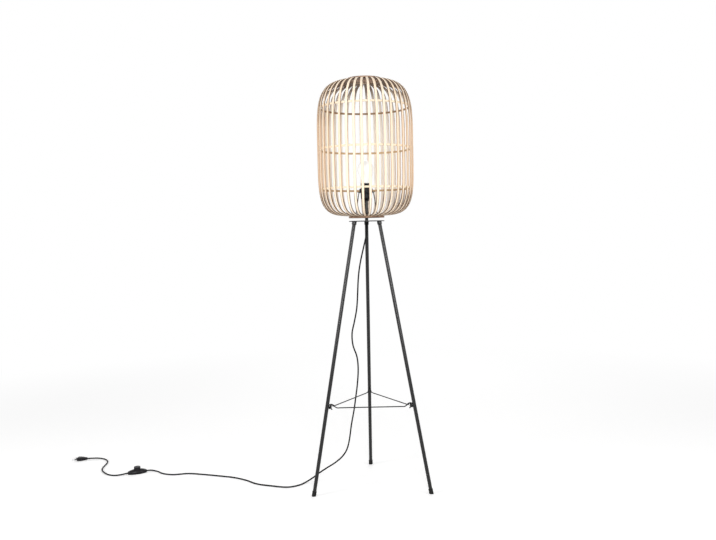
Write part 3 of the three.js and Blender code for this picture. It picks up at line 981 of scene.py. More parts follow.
class Recipe:
    """A Geometry Nodes tree with named inputs, which is run once for each piece."""

    def __init__(self, name: str, inputs: dict[str, float | int]) -> None:
        """Make the tree's inputs.

        Args:
            name: The tree's name.
            inputs: Each input's name and default; a whole number gives a whole-number socket.
        """
        self.group = bpy.data.node_groups.new(name, "GeometryNodeTree")
        self.tree = Tree(self.group)
        self.keys: dict[str, str] = {}
        self.add("Path", "NodeSocketGeometry")
        for title, value in inputs.items():
            whole = isinstance(value, int)
            self.add(title, "NodeSocketInt" if whole else "NodeSocketFloat").default_value = value
        self.add("Finish", "NodeSocketMaterial")
        self.group.interface.new_socket(
            name="Mesh", in_out="OUTPUT", socket_type="NodeSocketGeometry"
        )
        self.entry = self.tree.node("NodeGroupInput")

    def add(self, title: str, kind: str) -> bpy.types.NodeTreeInterfaceSocket:
        """Add a named input.

        Args:
            title: Its name.
            kind: Its socket type.

        Returns:
            The new interface socket.
        """
        made = self.group.interface.new_socket(name=title, in_out="INPUT", socket_type=kind)
        self.keys[title] = made.identifier
        return made

    def get(self, title: str) -> Socket:
        """Return an input's value inside the tree."""
        return self.entry.of(title)

    def note(self, geometry: Socket, name: str, value: Socket, domain: str = "POINT") -> Socket:
        """Store a named number on the geometry.

        Args:
            geometry: The geometry.
            name: The attribute's name.
            value: Its value.
            domain: Where it is stored.

        Returns:
            The geometry with the attribute.
        """
        settings = {"data_type": "FLOAT", "domain": domain}
        inputs = {"Geometry": geometry, "Name": name, "Value": value}
        return self.tree.node("GeometryNodeStoreNamedAttribute", settings, inputs)

    def circle(self, radius: Socket | float, points: Socket | int) -> Socket:
        """Return a round curve."""
        inputs = {"Resolution": points, "Radius": radius}
        return self.tree.node("GeometryNodeCurvePrimitiveCircle", None, inputs)

    def moved(self, geometry: Socket, place: Socket) -> Socket:
        """Return the geometry with its points at new places."""
        inputs = {"Geometry": geometry, "Position": place}
        return self.tree.node("GeometryNodeSetPosition", None, inputs)

    def spot(self) -> Socket:
        """Return the X of each point's place, whose node gives Y and Z too."""
        return self.tree.split(self.tree.node("GeometryNodeInputPosition"))

    def line(self, count: int | Socket, place: Callable[[Socket], Socket]) -> Socket:
        """Lay a curve of points.

        Args:
            count: How many points.
            place: Gives a point's place from its number.

        Returns:
            The curve.
        """
        mesh = self.tree.node("GeometryNodeMeshLine", None, {"Count": count})
        curve = self.tree.node("GeometryNodeMeshToCurve", None, {"Mesh": mesh})
        return self.moved(curve, place(self.tree.node("GeometryNodeInputIndex")))

    def section(self, thickness: Socket, width: Socket, points: int, squareness: float) -> Socket:
        """Make a strip's rounded section, thickness along X and width along Y.

        Args:
            thickness: From the inner to the outer face.
            width: From edge to edge.
            points: Points round it.
            squareness: The power of its squared oval.

        Returns:
            The closed curve, with the attributes side and depth.
        """
        apart = self.spot()
        squared = [
            (abs(apart.of(key)) ** (2.0 / squareness)) * apart.maths("SIGN", apart.of(key))
            for key in "XY"
        ]
        unit = self.moved(self.circle(1.0, points), self.tree.vector(*squared, 0.0))
        now = self.spot()
        marked = self.note(self.note(unit, "side", now.of("Y")), "depth", now.of("X") * 0.5 + 0.5)
        deep, wide = (now.of("X") - 1.0) * 0.5 * thickness, now.of("Y") * 0.5 * width
        return self.moved(marked, self.tree.vector(deep, wide, 0.0))

    def sweep(self, path: Socket, section: Socket) -> Socket:
        """Sweep a section along a path, with the path's length noted as along.

        Args:
            path: The curve.
            section: The closed section.

        Returns:
            The swept mesh with its ends filled.
        """
        length = self.tree.node("GeometryNodeSplineParameter", output="Length")
        measured = self.note(path, "along", length)
        inputs = {"Curve": measured, "Profile Curve": section, "Fill Caps": True}
        return self.tree.node("GeometryNodeCurveToMesh", None, inputs)

    def repeat(self, geometry: Socket, count: Socket, turns: Socket) -> Socket:
        """Set copies of the geometry round the axis.

        Args:
            geometry: What is repeated.
            count: How many.
            turns: The angle of each, which may read its number.

        Returns:
            The instances, each with a random tone.
        """
        spots = self.tree.node("GeometryNodePoints", None, {"Count": count})
        euler = {"Euler": self.tree.vector(0.0, 0.0, turns)}
        rotation = self.tree.node("FunctionNodeEulerToRotation", None, euler)
        inputs = {"Points": spots, "Instance": geometry, "Rotation": rotation}
        copies = self.tree.node("GeometryNodeInstanceOnPoints", None, inputs)
        return self.note(copies, "tone", self.chance(0.0, 1.0, seed=3), "INSTANCE")

    def chance(self, low: float, high: float, seed: int) -> Socket:
        """Return a random number for each point or instance.

        Args:
            low: The least that it can be.
            high: The greatest.
            seed: The draw's own seed, which is fixed.

        Returns:
            The number.
        """
        settings, (least, greatest) = {"data_type": "FLOAT"}, RANDOM_RANGE
        inputs = {least: low, greatest: high, "Seed": seed}
        return self.tree.node("FunctionNodeRandomValue", settings, inputs, output=RANDOM_VALUE)

    def end(self, geometry: Socket) -> "Recipe":
        """End the tree with its instances made real and its finish set.

        Args:
            geometry: What the tree has made.

        Returns:
            This recipe.
        """
        real = self.tree.node("GeometryNodeRealizeInstances", None, {"Geometry": geometry})
        inputs = {"Geometry": real, "Material": self.get("Finish")}
        coated = self.tree.node("GeometryNodeSetMaterial", None, inputs)
        self.tree.node("NodeGroupOutput", None, {"Mesh": coated})
        return self

    def run(
        self,
        name: str,
        finish: Finish,
        values: dict[str, float | int] | None = None,
        path: Sequence[Vector] | None = None,
        closed: bool = False,
        base: Mesh | None = None,
        on_axis: bool = False,
    ) -> Object:
        """Make one piece.

        Args:
            name: The piece's name.
            finish: Its finish.
            values: Inputs that differ from their defaults.
            path: Points that the piece follows.
            closed: Whether that path closes on itself.
            base: A mesh that the recipe starts from in a path's place.
            on_axis: Whether the path is about the lamp's axis; without a path everything is.

        Returns:
            The finished object.
        """
        source = poly_curve(path, closed) if path else base or bpy.data.meshes.new(name)
        carrier = linked(name + "_carrier", source)
        modifier = carrier.modifiers.new(self.group.name, "NODES")
        modifier.node_group = self.group
        for title, value in (values or {}).items():
            modifier[self.keys[title]] = value
        modifier[self.keys["Finish"]] = finish.material()
        mesh = evaluated(carrier)
        carrier.modifiers.remove(modifier)
        bpy.data.objects.remove(carrier)
        if path is None or on_axis:
            mesh.transform(ON_AXIS)
        return keep(name, mesh, finish)


def poly_curve(path: Sequence[Vector], closed: bool) -> bpy.types.Curve:
    """Return a curve of straight pieces through the points.

    Args:
        path: The points.
        closed: Whether the last joins the first.

    Returns:
        The curve.
    """
    made = bpy.data.curves.new("path", "CURVE")
    made.dimensions = "3D"
    spline = made.splines.new("POLY")
    spline.points.add(len(path) - 1)
    for point, place in zip(spline.points, path):
        point.co = (*place, 1.0)
    spline.use_cyclic_u = closed
    return made


def wire_recipe() -> Recipe:
    """Return the recipe of a round wire or cord along a path.

    Returns:
        The recipe.
    """
    recipe = Recipe("round_wire", {"Radius": 0.001, "Sides": 12})
    circle = recipe.circle(recipe.get("Radius"), recipe.get("Sides"))
    return recipe.end(recipe.sweep(recipe.get("Path"), circle))


def slat_recipe() -> Recipe:
    """Return the recipe of the fan of slats that make the shade's globe.

    Returns:
        The recipe.
    """
    sizes = {
        "Count": 40,
        "Radius": 0.158,
        "Low": 0.2197,
        "High": 0.224,
        "Middle": 1.122,
        "End Radius": 0.047,
        "Low Squareness": 5.0,
        "High Squareness": 4.4,
        "Width": 0.0085,
        "Thickness": 0.0035,
        "Gap": FIT,
        "Step": 0.006,
    }
    recipe = Recipe("slat_fan", sizes)
    tree, get = recipe.tree, recipe.get
    fine, uneven = 401, 0.002

    def globe(index: Socket) -> Socket:
        """Return a point of the squared oval from its number; each half has its own power.

        Args:
            index: The point's number.

        Returns:
            The place, with the radius along X.
        """
        share = index * (2.0 / (fine - 1)) - 1.0
        upper = share > 0.0
        height = get("Low") + (get("High") - get("Low")) * upper
        low, high = get("Low Squareness"), get("High Squareness")
        squareness = low + (high - low) * upper
        power = 2.0 / squareness
        reach = share.maths("ARCCOSINE", (get("End Radius") / get("Radius")) ** (squareness * 0.5))
        bent = share.maths("SINE", abs(share) * reach)
        out = get("Radius") * share.maths("COSINE", abs(share) * reach) ** power
        level = get("Middle") + height * share.maths("SIGN", share) * bent ** power
        return tree.vector(out, 0.0, level)

    path = recipe.line(fine, globe)
    inputs = {"Curve": path, "Length": get("Step")}
    even = tree.node("GeometryNodeResampleCurve", {"mode": "LENGTH"}, inputs)
    facing = tree.node("GeometryNodeSetCurveTilt", None, {"Curve": even, "Tilt": TURN / 4})
    section = recipe.section(get("Thickness"), get("Width"), points=16, squareness=9.0)
    slat = recipe.sweep(facing, section)
    apart = recipe.spot()
    half_pitch = math.pi / get("Count")
    tangent = half_pitch.maths("TANGENT", half_pitch)
    room = (apart.of("X") * tangent * 2.0 - get("Gap")) / get("Width")
    narrowed = apart.of("Y") * room.maths("MINIMUM", room, 1.0)
    shaped = tree.vector(apart.of("X"), narrowed, apart.of("Z"))
    index = tree.node("GeometryNodeInputIndex")
    turns = (index + 0.5) * (TURN / get("Count")) + recipe.chance(-uneven, uneven, seed=7)
    return recipe.end(recipe.repeat(recipe.moved(slat, shaped), get("Count"), turns))


def hoop_recipe() -> Recipe:
    """Return the recipe of a bent rattan band with its butt joint at the back.

    Returns:
        The recipe.
    """
    sizes = {
        "Radius": 0.15,
        "Level": 1.122,
        "Height": 0.0065,
        "Thickness": 0.003,
        "Joint": 0.0004,
        "Tone": 0.5,
        "Points": 181,
    }
    recipe = Recipe("rattan_hoop", sizes)
    get = recipe.get
    joint = get("Joint") / get("Radius")

    def round_the_lamp(index: Socket) -> Socket:
        """Return a point of the band's outer face from its number.

        Args:
            index: The point's number.

        Returns:
            The place.
        """
        angle = (TURN - joint) * index / (get("Points") - 1.0) + joint * 0.5 + TURN / 4
        x, y = (get("Radius") * angle.maths(kind, angle) for kind in ("COSINE", "SINE"))
        return recipe.tree.vector(x, y, get("Level"))

    path = recipe.note(recipe.line(get("Points"), round_the_lamp), "tone", get("Tone"))
    band_section = recipe.section(get("Thickness"), get("Height"), points=16, squareness=5.0)
    return recipe.end(recipe.sweep(path, band_section))


def rib_recipe() -> Recipe:
    """Return the recipe of grip ribs that stand round an upright axis.

    Returns:
        The recipe.
    """
    sizes = {"Count": 36, "Radius": 0.0217, "Low": 0.983, "High": 0.991, "Rib": 0.0005}
    recipe = Recipe("grip_ribs", sizes)
    tree, get = recipe.tree, recipe.get

    def upright(index: Socket) -> Socket:
        """Return a rib's lower or upper end from its number."""
        return tree.vector(get("Radius"), 0.0, get("Low") + (get("High") - get("Low")) * index)

    rib = recipe.sweep(recipe.line(2, upright), recipe.circle(get("Rib"), points=8))
    turns = tree.node("GeometryNodeInputIndex") * (TURN / get("Count"))
    ribs = recipe.repeat(rib, get("Count"), turns)
    joined = tree.node("GeometryNodeJoinGeometry")
    tree.nodes.links.new(ribs.source, joined.source.node.inputs[0])
    tree.nodes.links.new(get("Path").source, joined.source.node.inputs[0])
    return recipe.end(joined)


def spoke_recipe() -> Recipe:
    """Return the recipe of equal wires set round the axis, each along the given path.

    Returns:
        The recipe.
    """
    recipe = Recipe("bent_wires", {"Count": 3, "Radius": 0.0015, "Sides": 12})
    get = recipe.get
    wire = recipe.sweep(get("Path"), recipe.circle(get("Radius"), get("Sides")))
    turns = recipe.tree.node("GeometryNodeInputIndex") * (TURN / get("Count")) + TURN / 4
    return recipe.end(recipe.repeat(wire, get("Count"), turns))


# Sub-assemblies


class Assembly:
    """What the sub-assemblies share: how a piece joins its body."""

    def fit(self, piece: Object, *nodes: str, body: str = "lamp") -> Object:
        """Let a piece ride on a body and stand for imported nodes.

        Args:
            piece: The finished piece.
            nodes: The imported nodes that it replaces.
            body: The body that it rides on.

        Returns:
            The piece.
        """
        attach(piece, body)
        if nodes:
            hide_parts(*nodes)
        LOG.info("%s: %d faces", piece.name, len(piece.data.polygons))
        return piece

    def dress(self, node: str, finish: Finish) -> None:
        """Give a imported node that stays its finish.

        Args:
            node: The node's name.
            finish: Its finish.
        """
        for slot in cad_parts[node].material_slots:
            slot.material = finish.material()
        LOG.info("%s keeps its packed shape", node)


@dataclass
class Tripod(Assembly):
    """Three leaning legs with foot caps, the plate, the brace wire and its wing nuts."""

    foot_radius: float = 0.2198
    leg_top_radius: float = 0.047
    leg_radius: float = 0.006
    leg_wall: float = 0.0012
    leg_corner: float = 0.0004
    leg_plug: float = 0.018
    leg_stud: Pair = (0.003, 0.0085)
    bore_overrun: float = 0.002
    bore_tip: float = 0.0095
    cap_radius: float = 0.0072
    cap_height: float = 0.016
    cap_sole: float = 0.004
    cap_corner: float = 0.0005
    cap_grooves: int = 3
    cap_groove_start: float = 0.0065
    cap_groove_pitch: float = 0.0022
    cap_groove: Groove = Groove(0.0004, (0.0005, 0.0009), 0.0014)
    plate_bottom: float = 0.884
    plate_thickness: float = 0.003
    plate_radius: float = 0.059
    plate_corner: float = 0.0008
    boss_radius: float = 0.0077
    boss_length: float = 0.010
    boss_corner: float = 0.0009
    stem_radius: float = 0.0055
    brace_height: float = 0.282
    brace_drop: float = 0.002
    brace_wire: float = 0.00175
    brace_stud: Pair = (0.002, 0.0115)
    stud_root: float = 0.0006
    stud_plain: float = 0.003
    stud_thread: Pair = (0.0007, 0.00012)
    stud_rings: int = 120
    stud_chamfer: float = 0.0004
    brace_neck: Pair = (0.0082, 0.012)
    brace_kink: float = 0.028
    brace_hold: float = 0.040
    brace_loop_share: float = 0.8
    nut_hub: Pair = (0.0038, 0.005)
    nut_taper: float = 0.86
    nut_corner: float = 0.0005
    nut_span: float = 0.019
    nut_height: float = 0.0084
    nut_half_thickness: float = 0.002
    nut_wing: tuple[Pair, ...] = (
        (0.04, 0.3),
        (0.34, 0.72),
        (0.74, 1.0),
        (1.0, 0.93),
        (0.84, 0.62),
        (0.6, 0.34),
    )

    @property
    def lean(self) -> float:
        """Return the legs' lean from upright."""
        return math.atan((self.foot_radius - self.leg_top_radius) / self.plate_bottom)

    @property
    def leg_length(self) -> float:
        """Return a leg's length from the floor to the plate's underside."""
        return self.plate_bottom / math.cos(self.lean)

    def inner_radius(self, height: float) -> float:
        """Return how far a leg's inner side stands from the lamp's axis at a height."""
        middle = self.foot_radius - height * math.tan(self.lean)
        return middle - self.leg_radius / math.cos(self.lean)

    def facing(self, leg: Leg) -> Matrix:
        """Return the frame on the lamp's axis whose +X points to a leg."""
        return ON_AXIS @ turn(leg.value, "Z")

    def leg_place(self, leg: Leg) -> Matrix:
        """Return a leg's frame: along it is +Z, outward is +X and its floor point is the origin."""
        return self.facing(leg) @ at(self.foot_radius) @ turn(-self.lean, "Y")

    def build(self) -> None:
        """Make the tripod's pieces."""
        for leg in Leg:
            self.fit(self.leg(leg), f"leg_{leg.name}")
            self.fit(self.foot_cap(leg), f"foot_cap_{leg.name}")
            self.fit(self.wing_nut(leg), f"wing_nut_{leg.name}")
        self.fit(self.plate(), "tripod_plate")
        self.fit(self.brace(), "brace_wire")

    def leg(self, leg: Leg) -> Object:
        """Make a leg with its stud for the plate and its threaded stud for the brace.

        Args:
            leg: Which leg.

        Returns:
            The piece.
        """
        bottom, top = self.cap_sole + FIT, self.leg_length - self.boss_length - FIT
        inner = self.leg_radius - self.leg_wall
        stud, reach = self.leg_stud
        profile = [
            (0.0, top - self.leg_plug),
            (inner, top - self.leg_plug),
            (inner, bottom),
            (self.leg_radius, bottom),
            (self.leg_radius, top),
            (stud, top),
            (stud, top + reach),
            (0.0, top + reach),
        ]
        tube = spun(profile, sides=48, corner=self.leg_corner, move=HERE)
        radius, length = self.brace_stud
        start = self.leg_radius - self.stud_root
        end = self.leg_radius / math.cos(self.lean) + length
        side, count = end - start - self.stud_chamfer, self.stud_rings
        threaded = [(0.0, start), *((radius, start + side * i / count) for i in range(count + 1))]
        threaded += [(radius - self.stud_chamfer, end), (0.0, end)]
        turns = thread(*self.stud_thread, start + self.stud_plain)
        stud_move = at(z=self.brace_height / math.cos(self.lean)) @ turn(self.lean - TURN / 4, "Y")
        short = spun(threaded, sides=20, wave=turns, move=stud_move)
        body = carve(tube, [short], Carving.JOIN)
        body.transform(self.leg_place(leg))
        return keep(f"leg_{leg.name}_steel", body, BLACK_STEEL)

    def foot_cap(self, leg: Leg) -> Object:
        """Make a rubber foot cap with a ribbed side, cut flat at the floor.

        Args:
            leg: Whose cap.

        Returns:
            The piece.
        """
        bore = self.leg_radius + FIT
        profile = [(0.0, -self.cap_radius), (self.cap_radius, -self.cap_radius)]
        for i in range(self.cap_grooves):
            low = self.cap_groove_start + i * self.cap_groove_pitch
            profile += self.cap_groove.points(self.cap_radius, low)
        profile += [(self.cap_radius, self.cap_height), (bore, self.cap_height)]
        profile += [(bore, self.cap_sole), (0.0, self.cap_sole)]
        side = rounded(profile, self.cap_corner, steps=2)
        shape = placed(lathe(side, sides=40), self.leg_place(leg))
        geometry = [*shape.verts, *shape.edges, *shape.faces]
        floor = {"plane_co": (0, 0, 0), "plane_no": (0, 0, 1)}
        bmesh.ops.bisect_plane(shape, geom=geometry, clear_inner=True, **floor)
        bmesh.ops.edgeloop_fill(shape, edges=[edge for edge in shape.edges if edge.is_boundary])
        mesh = softened(mesh_of(shape), self.cap_corner)
        return keep(f"foot_cap_{leg.name}_rubber", mesh, FOOT_RUBBER)

    def plate(self) -> Object:
        """Make the round plate with its three slanted bosses and their holes.

        Returns:
            The piece.
        """
        bore, top = self.stem_radius + FIT, self.plate_bottom + self.plate_thickness
        edge = band(bore, self.plate_radius, self.plate_bottom, top)
        body = spun(edge, sides=128, corner=self.plate_corner, closed=True)
        bosses, holes = [], []
        start = self.leg_length - self.boss_length
        end = self.leg_length + self.boss_radius * math.tan(self.lean)
        side = band(0.0, self.boss_radius, start, end)
        stud, reach = self.leg_stud
        radius, mouth = stud + FIT, start - self.bore_overrun
        tip = start + self.bore_tip
        hole = [(0.0, mouth), (radius, mouth), (radius, start + reach), (0.0, tip)]
        for leg in Leg:
            bosses.append(spun(side, sides=48, corner=self.boss_corner, move=self.leg_place(leg)))
            holes.append(spun(hole, sides=32, move=self.leg_place(leg)))
        body = carve(carve(body, bosses, Carving.JOIN), holes, Carving.CUT)
        return keep("tripod_plate_steel", body, BLACK_STEEL)

    def brace(self) -> Object:
        """Make the brace: one closed wire that loops under each stud and past its nut.

        Returns:
            The piece.
        """
        surface = self.inner_radius(self.brace_height)
        corner = [
            Vector((surface - inward, across, self.brace_height + rise))
            for inward, across, rise in self.brace_corner()
        ]
        points = [self.facing(leg) @ point for leg in Leg for point in corner]
        path = curve_through(points, steps=6, closed=True)
        sizes = {"Radius": self.brace_wire, "Sides": 14}
        return wire_recipe().run("brace_wire_steel", BLACK_WIRE, sizes, path, closed=True)

    def brace_corner(self) -> list[Point]:
        """Return the wire's points at a leg, each as inward, across and up from the stud.

        Returns:
            The points, from one side of the stud to the other.
        """
        lateral = self.brace_stud[0] + FIT + self.brace_wire
        neck_rise, neck_length = self.brace_neck
        plane = self.brace_wire + FIT + neck_rise * math.tan(self.lean) / 2
        diagonal, kink = lateral * math.sqrt(0.5), self.brace_kink * math.sqrt(0.5)
        half = [
            (plane, diagonal, -diagonal),
            (plane, lateral, 0.0),
            (plane, lateral, lateral * self.brace_loop_share),
            (plane + self.brace_wire, lateral, (lateral + neck_rise) / 2),
            ((plane + neck_length) / 2, lateral, neck_rise - self.brace_wire / 2),
            (neck_length, lateral, neck_rise),
            ((neck_length + kink) / 2, lateral + FIT, neck_rise - self.brace_drop),
            (kink, (lateral + kink / 2) / 2, self.brace_drop / 2),
        ]
        cos, sin = math.cos(TURN / 12), math.sin(TURN / 12)
        for distance in (self.brace_kink, self.brace_hold):
            half.append((distance * cos, distance * sin, -self.brace_drop))
        mirrored = [(inward, -across, rise) for inward, across, rise in reversed(half)]
        return [*mirrored, (plane, 0.0, -lateral), *half]

    def wing_nut(self, leg: Leg) -> Object:
        """Make a wing nut on the brace's stud, its wings upright.

        Args:
            leg: Whose nut.

        Returns:
            The piece.
        """
        radius, length = self.nut_hub
        bore = self.brace_stud[0] + FIT
        hub = [(bore, 0.0), (radius, 0.0), (radius * self.nut_taper, length), (bore, length)]
        body = spun(hub, sides=32, corner=self.nut_corner, closed=True, move=HERE)
        wings = []
        for side in (1.0, -1.0):
            spots = [
                Vector((side * across * self.nut_span / 2, 0.0, along * self.nut_height))
                for along, across in self.nut_wing
            ]
            outline = curve_through(spots, steps=5)
            faces = (-self.nut_half_thickness, self.nut_half_thickness)
            rings = [[spot + Vector((0.0, y, 0.0)) for spot in outline] for y in faces]
            wings.append(softened(mesh_of(loft(rings)), self.nut_corner, segments=3))
        body = carve(body, wings, Carving.JOIN)
        seat = self.brace_wire * 2 + FIT * 2 + self.brace_neck[0] * math.tan(self.lean) / 2
        spot = at(self.inner_radius(self.brace_height) - seat, 0.0, self.brace_height)
        body.transform(self.facing(leg) @ spot @ turn(-TURN / 4, "Y"))
        return keep(f"wing_nut_{leg.name}_steel", body, BLACK_STEEL)


@dataclass
class Stem(Assembly):
    """The tube on the plate, the cord's gland under it and the lead inside."""

    radius: float = 0.0055
    bore: float = 0.004
    bottom: float = 0.884
    top: float = 0.961
    corner: float = 0.0003
    gland_tip: float = 0.8577
    gland_tip_radius: float = 0.0036
    gland_top_radius: float = 0.0052
    gland_flange: float = 0.002
    gland_plug: float = 0.012
    gland_lip: float = 0.0004
    gland_corner: float = 0.00025
    grooves: int = 6
    groove: Groove = Groove(0.0005, (0.0006, 0.0013), 0.0019)
    groove_margins: Pair = (0.35, 0.6)

    def build(self) -> None:
        """Make the stem's pieces."""
        side = band(self.bore, self.radius, self.bottom, self.top)
        tube = spun(side, sides=48, corner=self.corner, closed=True)
        self.fit(keep("stem_tube_steel", tube, BLACK_STEEL), "stem_tube")
        self.fit(self.gland(), "cord_gland")
        self.dress("inner_lead", SHEATH)

    def gland(self) -> Object:
        """Make the cord's tapered gland with its bend ribs.

        Returns:
            The piece.
        """
        bore, seat = LEAD / 2 + FIT, self.bottom - FIT
        top = seat - self.gland_flange
        profile = [(bore, self.gland_tip), (self.gland_tip_radius, self.gland_tip)]
        first, spare = self.groove_margins
        for i in range(self.grooves):
            low = self.gland_tip + (top - self.gland_tip) * (i + first) / (self.grooves + spare)
            share = (low - self.gland_tip) / (top - self.gland_tip)
            out = self.gland_tip_radius + (self.gland_top_radius - self.gland_tip_radius) * share
            profile += self.groove.points(out, low)
        profile += [
            (self.gland_top_radius - self.gland_lip, top),
            (self.gland_top_radius, top),
            (self.gland_top_radius, seat),
            (self.bore - FIT, seat),
            (self.bore - FIT, seat + self.gland_plug),
            (bore, seat + self.gland_plug),
        ]
        mesh = spun(profile, sides=40, corner=self.gland_corner, steps=2, closed=True)
        return keep("cord_gland_rubber", mesh, SHEATH)


@dataclass
class Holder(Assembly):
    """The lamp holder: cap, body with its lip, shade collar, and the parts that meet the bulb."""

    bottom: float = 0.951
    radius: float = 0.018
    wall: float = 0.0018
    stem_radius: float = 0.0055
    neck_radius: float = 0.008
    neck_length: float = 0.004
    shoulder: float = 0.006
    floor: float = 0.0015
    cap_height: float = 0.027
    cap_corner: float = 0.0012
    cap_groove: Groove = Groove(0.0004, (0.0004, 0.0012), 0.0016)
    cap_groove_drop: float = 0.003
    height: float = 0.059
    body_thread: Pair = (0.0025, 0.0003)
    body_thread_ends: Pair = (0.001, 0.002)
    lip_radius: float = 0.0152
    lip_thickness: float = 0.003
    flange_radius: float = 0.0215
    flange_thickness: float = 0.0016
    skirt_drop: float = 0.006
    skirt_wall: float = 0.001
    collar_radius: float = 0.022
    collar_height: float = 0.010
    collar_corner: float = 0.0009
    collar_rib: float = 0.0004
    collar_rib_inset: float = 0.0012
    carrier_thickness: float = 0.002
    insulator: Pair = (0.0145, 0.0082)
    insulator_corner: float = 0.0008
    contact: Pair = (0.004, 0.002)
    contact_taper: float = 0.7
    contact_corner: float = 0.0006
    shell: Pair = (0.0141, 0.027)
    shell_wall: float = 0.0005
    shell_thread: Pair = (0.0036, 0.0002)

    @property
    def floor_level(self) -> float:
        """Return the level of the cap's inner floor."""
        return self.bottom + self.neck_length + self.shoulder + self.floor

    @property
    def flange_bottom(self) -> float:
        """Return the level of the body's flange."""
        return self.bottom + self.cap_height + FIT

    def build(self) -> None:
        """Make the holder's pieces."""
        self.fit(self.cap(), "holder_cap")
        self.fit(self.shade_body(), "holder_body")
        self.fit(self.collar(), "shade_collar")
        low = self.floor_level + FIT
        radius, height = self.insulator
        block = spun(band(0.0, radius, low, low + height), sides=64, corner=self.insulator_corner)
        self.fit(keep("holder_porcelain", block, PORCELAIN), "holder_insulator")
        low += height + FIT
        radius, height = self.contact
        high, narrow = low + height, radius * self.contact_taper
        profile = [(0.0, low), (radius, low), (narrow, high), (0.0, high)]
        tongue = spun(profile, sides=64, corner=self.contact_corner)
        self.fit(keep("holder_tongue", tongue, BRASS), "holder_contact")
        radius, height = self.shell
        depth = self.shell_thread[1]
        side = threaded_rings(radius - depth, low, low + height)
        side += threaded_rings(radius - self.shell_wall - depth, low + height, low)
        shell = spun(side, sides=48, closed=True, wave=thread(*self.shell_thread))
        self.fit(keep("holder_thread", shell, BRASS), "holder_shell")

    def cap(self) -> Object:
        """Make the lower cap, with its neck on the stem.

        Returns:
            The piece.
        """
        inner, bore = self.radius - self.wall, self.stem_radius + FIT
        neck = self.bottom + self.neck_length
        top = self.bottom + self.cap_height
        profile = [
            (bore, self.bottom),
            (self.neck_radius, self.bottom),
            (self.neck_radius, neck),
            (inner, neck + self.shoulder / 2),
            (self.radius, neck + self.shoulder),
            *self.cap_groove.points(self.radius, top - self.cap_groove_drop),
            (self.radius, top),
            (inner, top),
            (inner, self.floor_level),
            (bore, self.floor_level),
        ]
        mesh = spun(profile, sides=72, corner=self.cap_corner, closed=True)
        return keep("holder_cap_moulding", mesh, MOULDED)

    def shade_body(self) -> Object:
        """Make the upper body with its flange, its thread for the collar and its lip.

        Returns:
            The piece.
        """
        inner = self.radius - self.wall
        skirt = inner - FIT
        flange_top = self.flange_bottom + self.flange_thickness
        top, slant = self.bottom + self.height, self.lip_thickness / 3
        profile = [
            (skirt - self.skirt_wall, self.flange_bottom - self.skirt_drop),
            (skirt, self.flange_bottom - self.skirt_drop),
            (skirt, self.flange_bottom),
            (self.flange_radius, self.flange_bottom),
            (self.flange_radius, flange_top),
            *threaded_rings(self.radius - self.body_thread[1], flange_top, top - slant),
            (self.radius - slant, top),
            (self.lip_radius, top),
            (self.lip_radius, top - self.lip_thickness),
            (inner, top - self.lip_thickness),
            (inner, flange_top),
            (skirt - self.skirt_wall, self.flange_bottom),
        ]
        after, before = self.body_thread_ends
        outside = thread(*self.body_thread, flange_top + after, top - before)
        mesh = spun(profile, sides=72, closed=True, wave=outside)
        return keep("holder_body_moulding", mesh, MOULDED)

    def collar(self) -> Object:
        """Make the ribbed collar that clamps the shade's carrier.

        Returns:
            The piece.
        """
        low = self.flange_bottom + self.flange_thickness + FIT * 2 + self.carrier_thickness
        high = low + self.collar_height
        out, inset = self.collar_radius - self.collar_rib, self.collar_rib_inset
        side = band(self.radius + FIT, out, low, high)
        blank = spun(side, sides=72, corner=self.collar_corner, closed=True, move=HERE)
        values = {"Radius": out, "Low": low + inset, "High": high - inset, "Rib": self.collar_rib}
        return rib_recipe().run("shade_collar_moulding", MOULDED, values, base=blank)


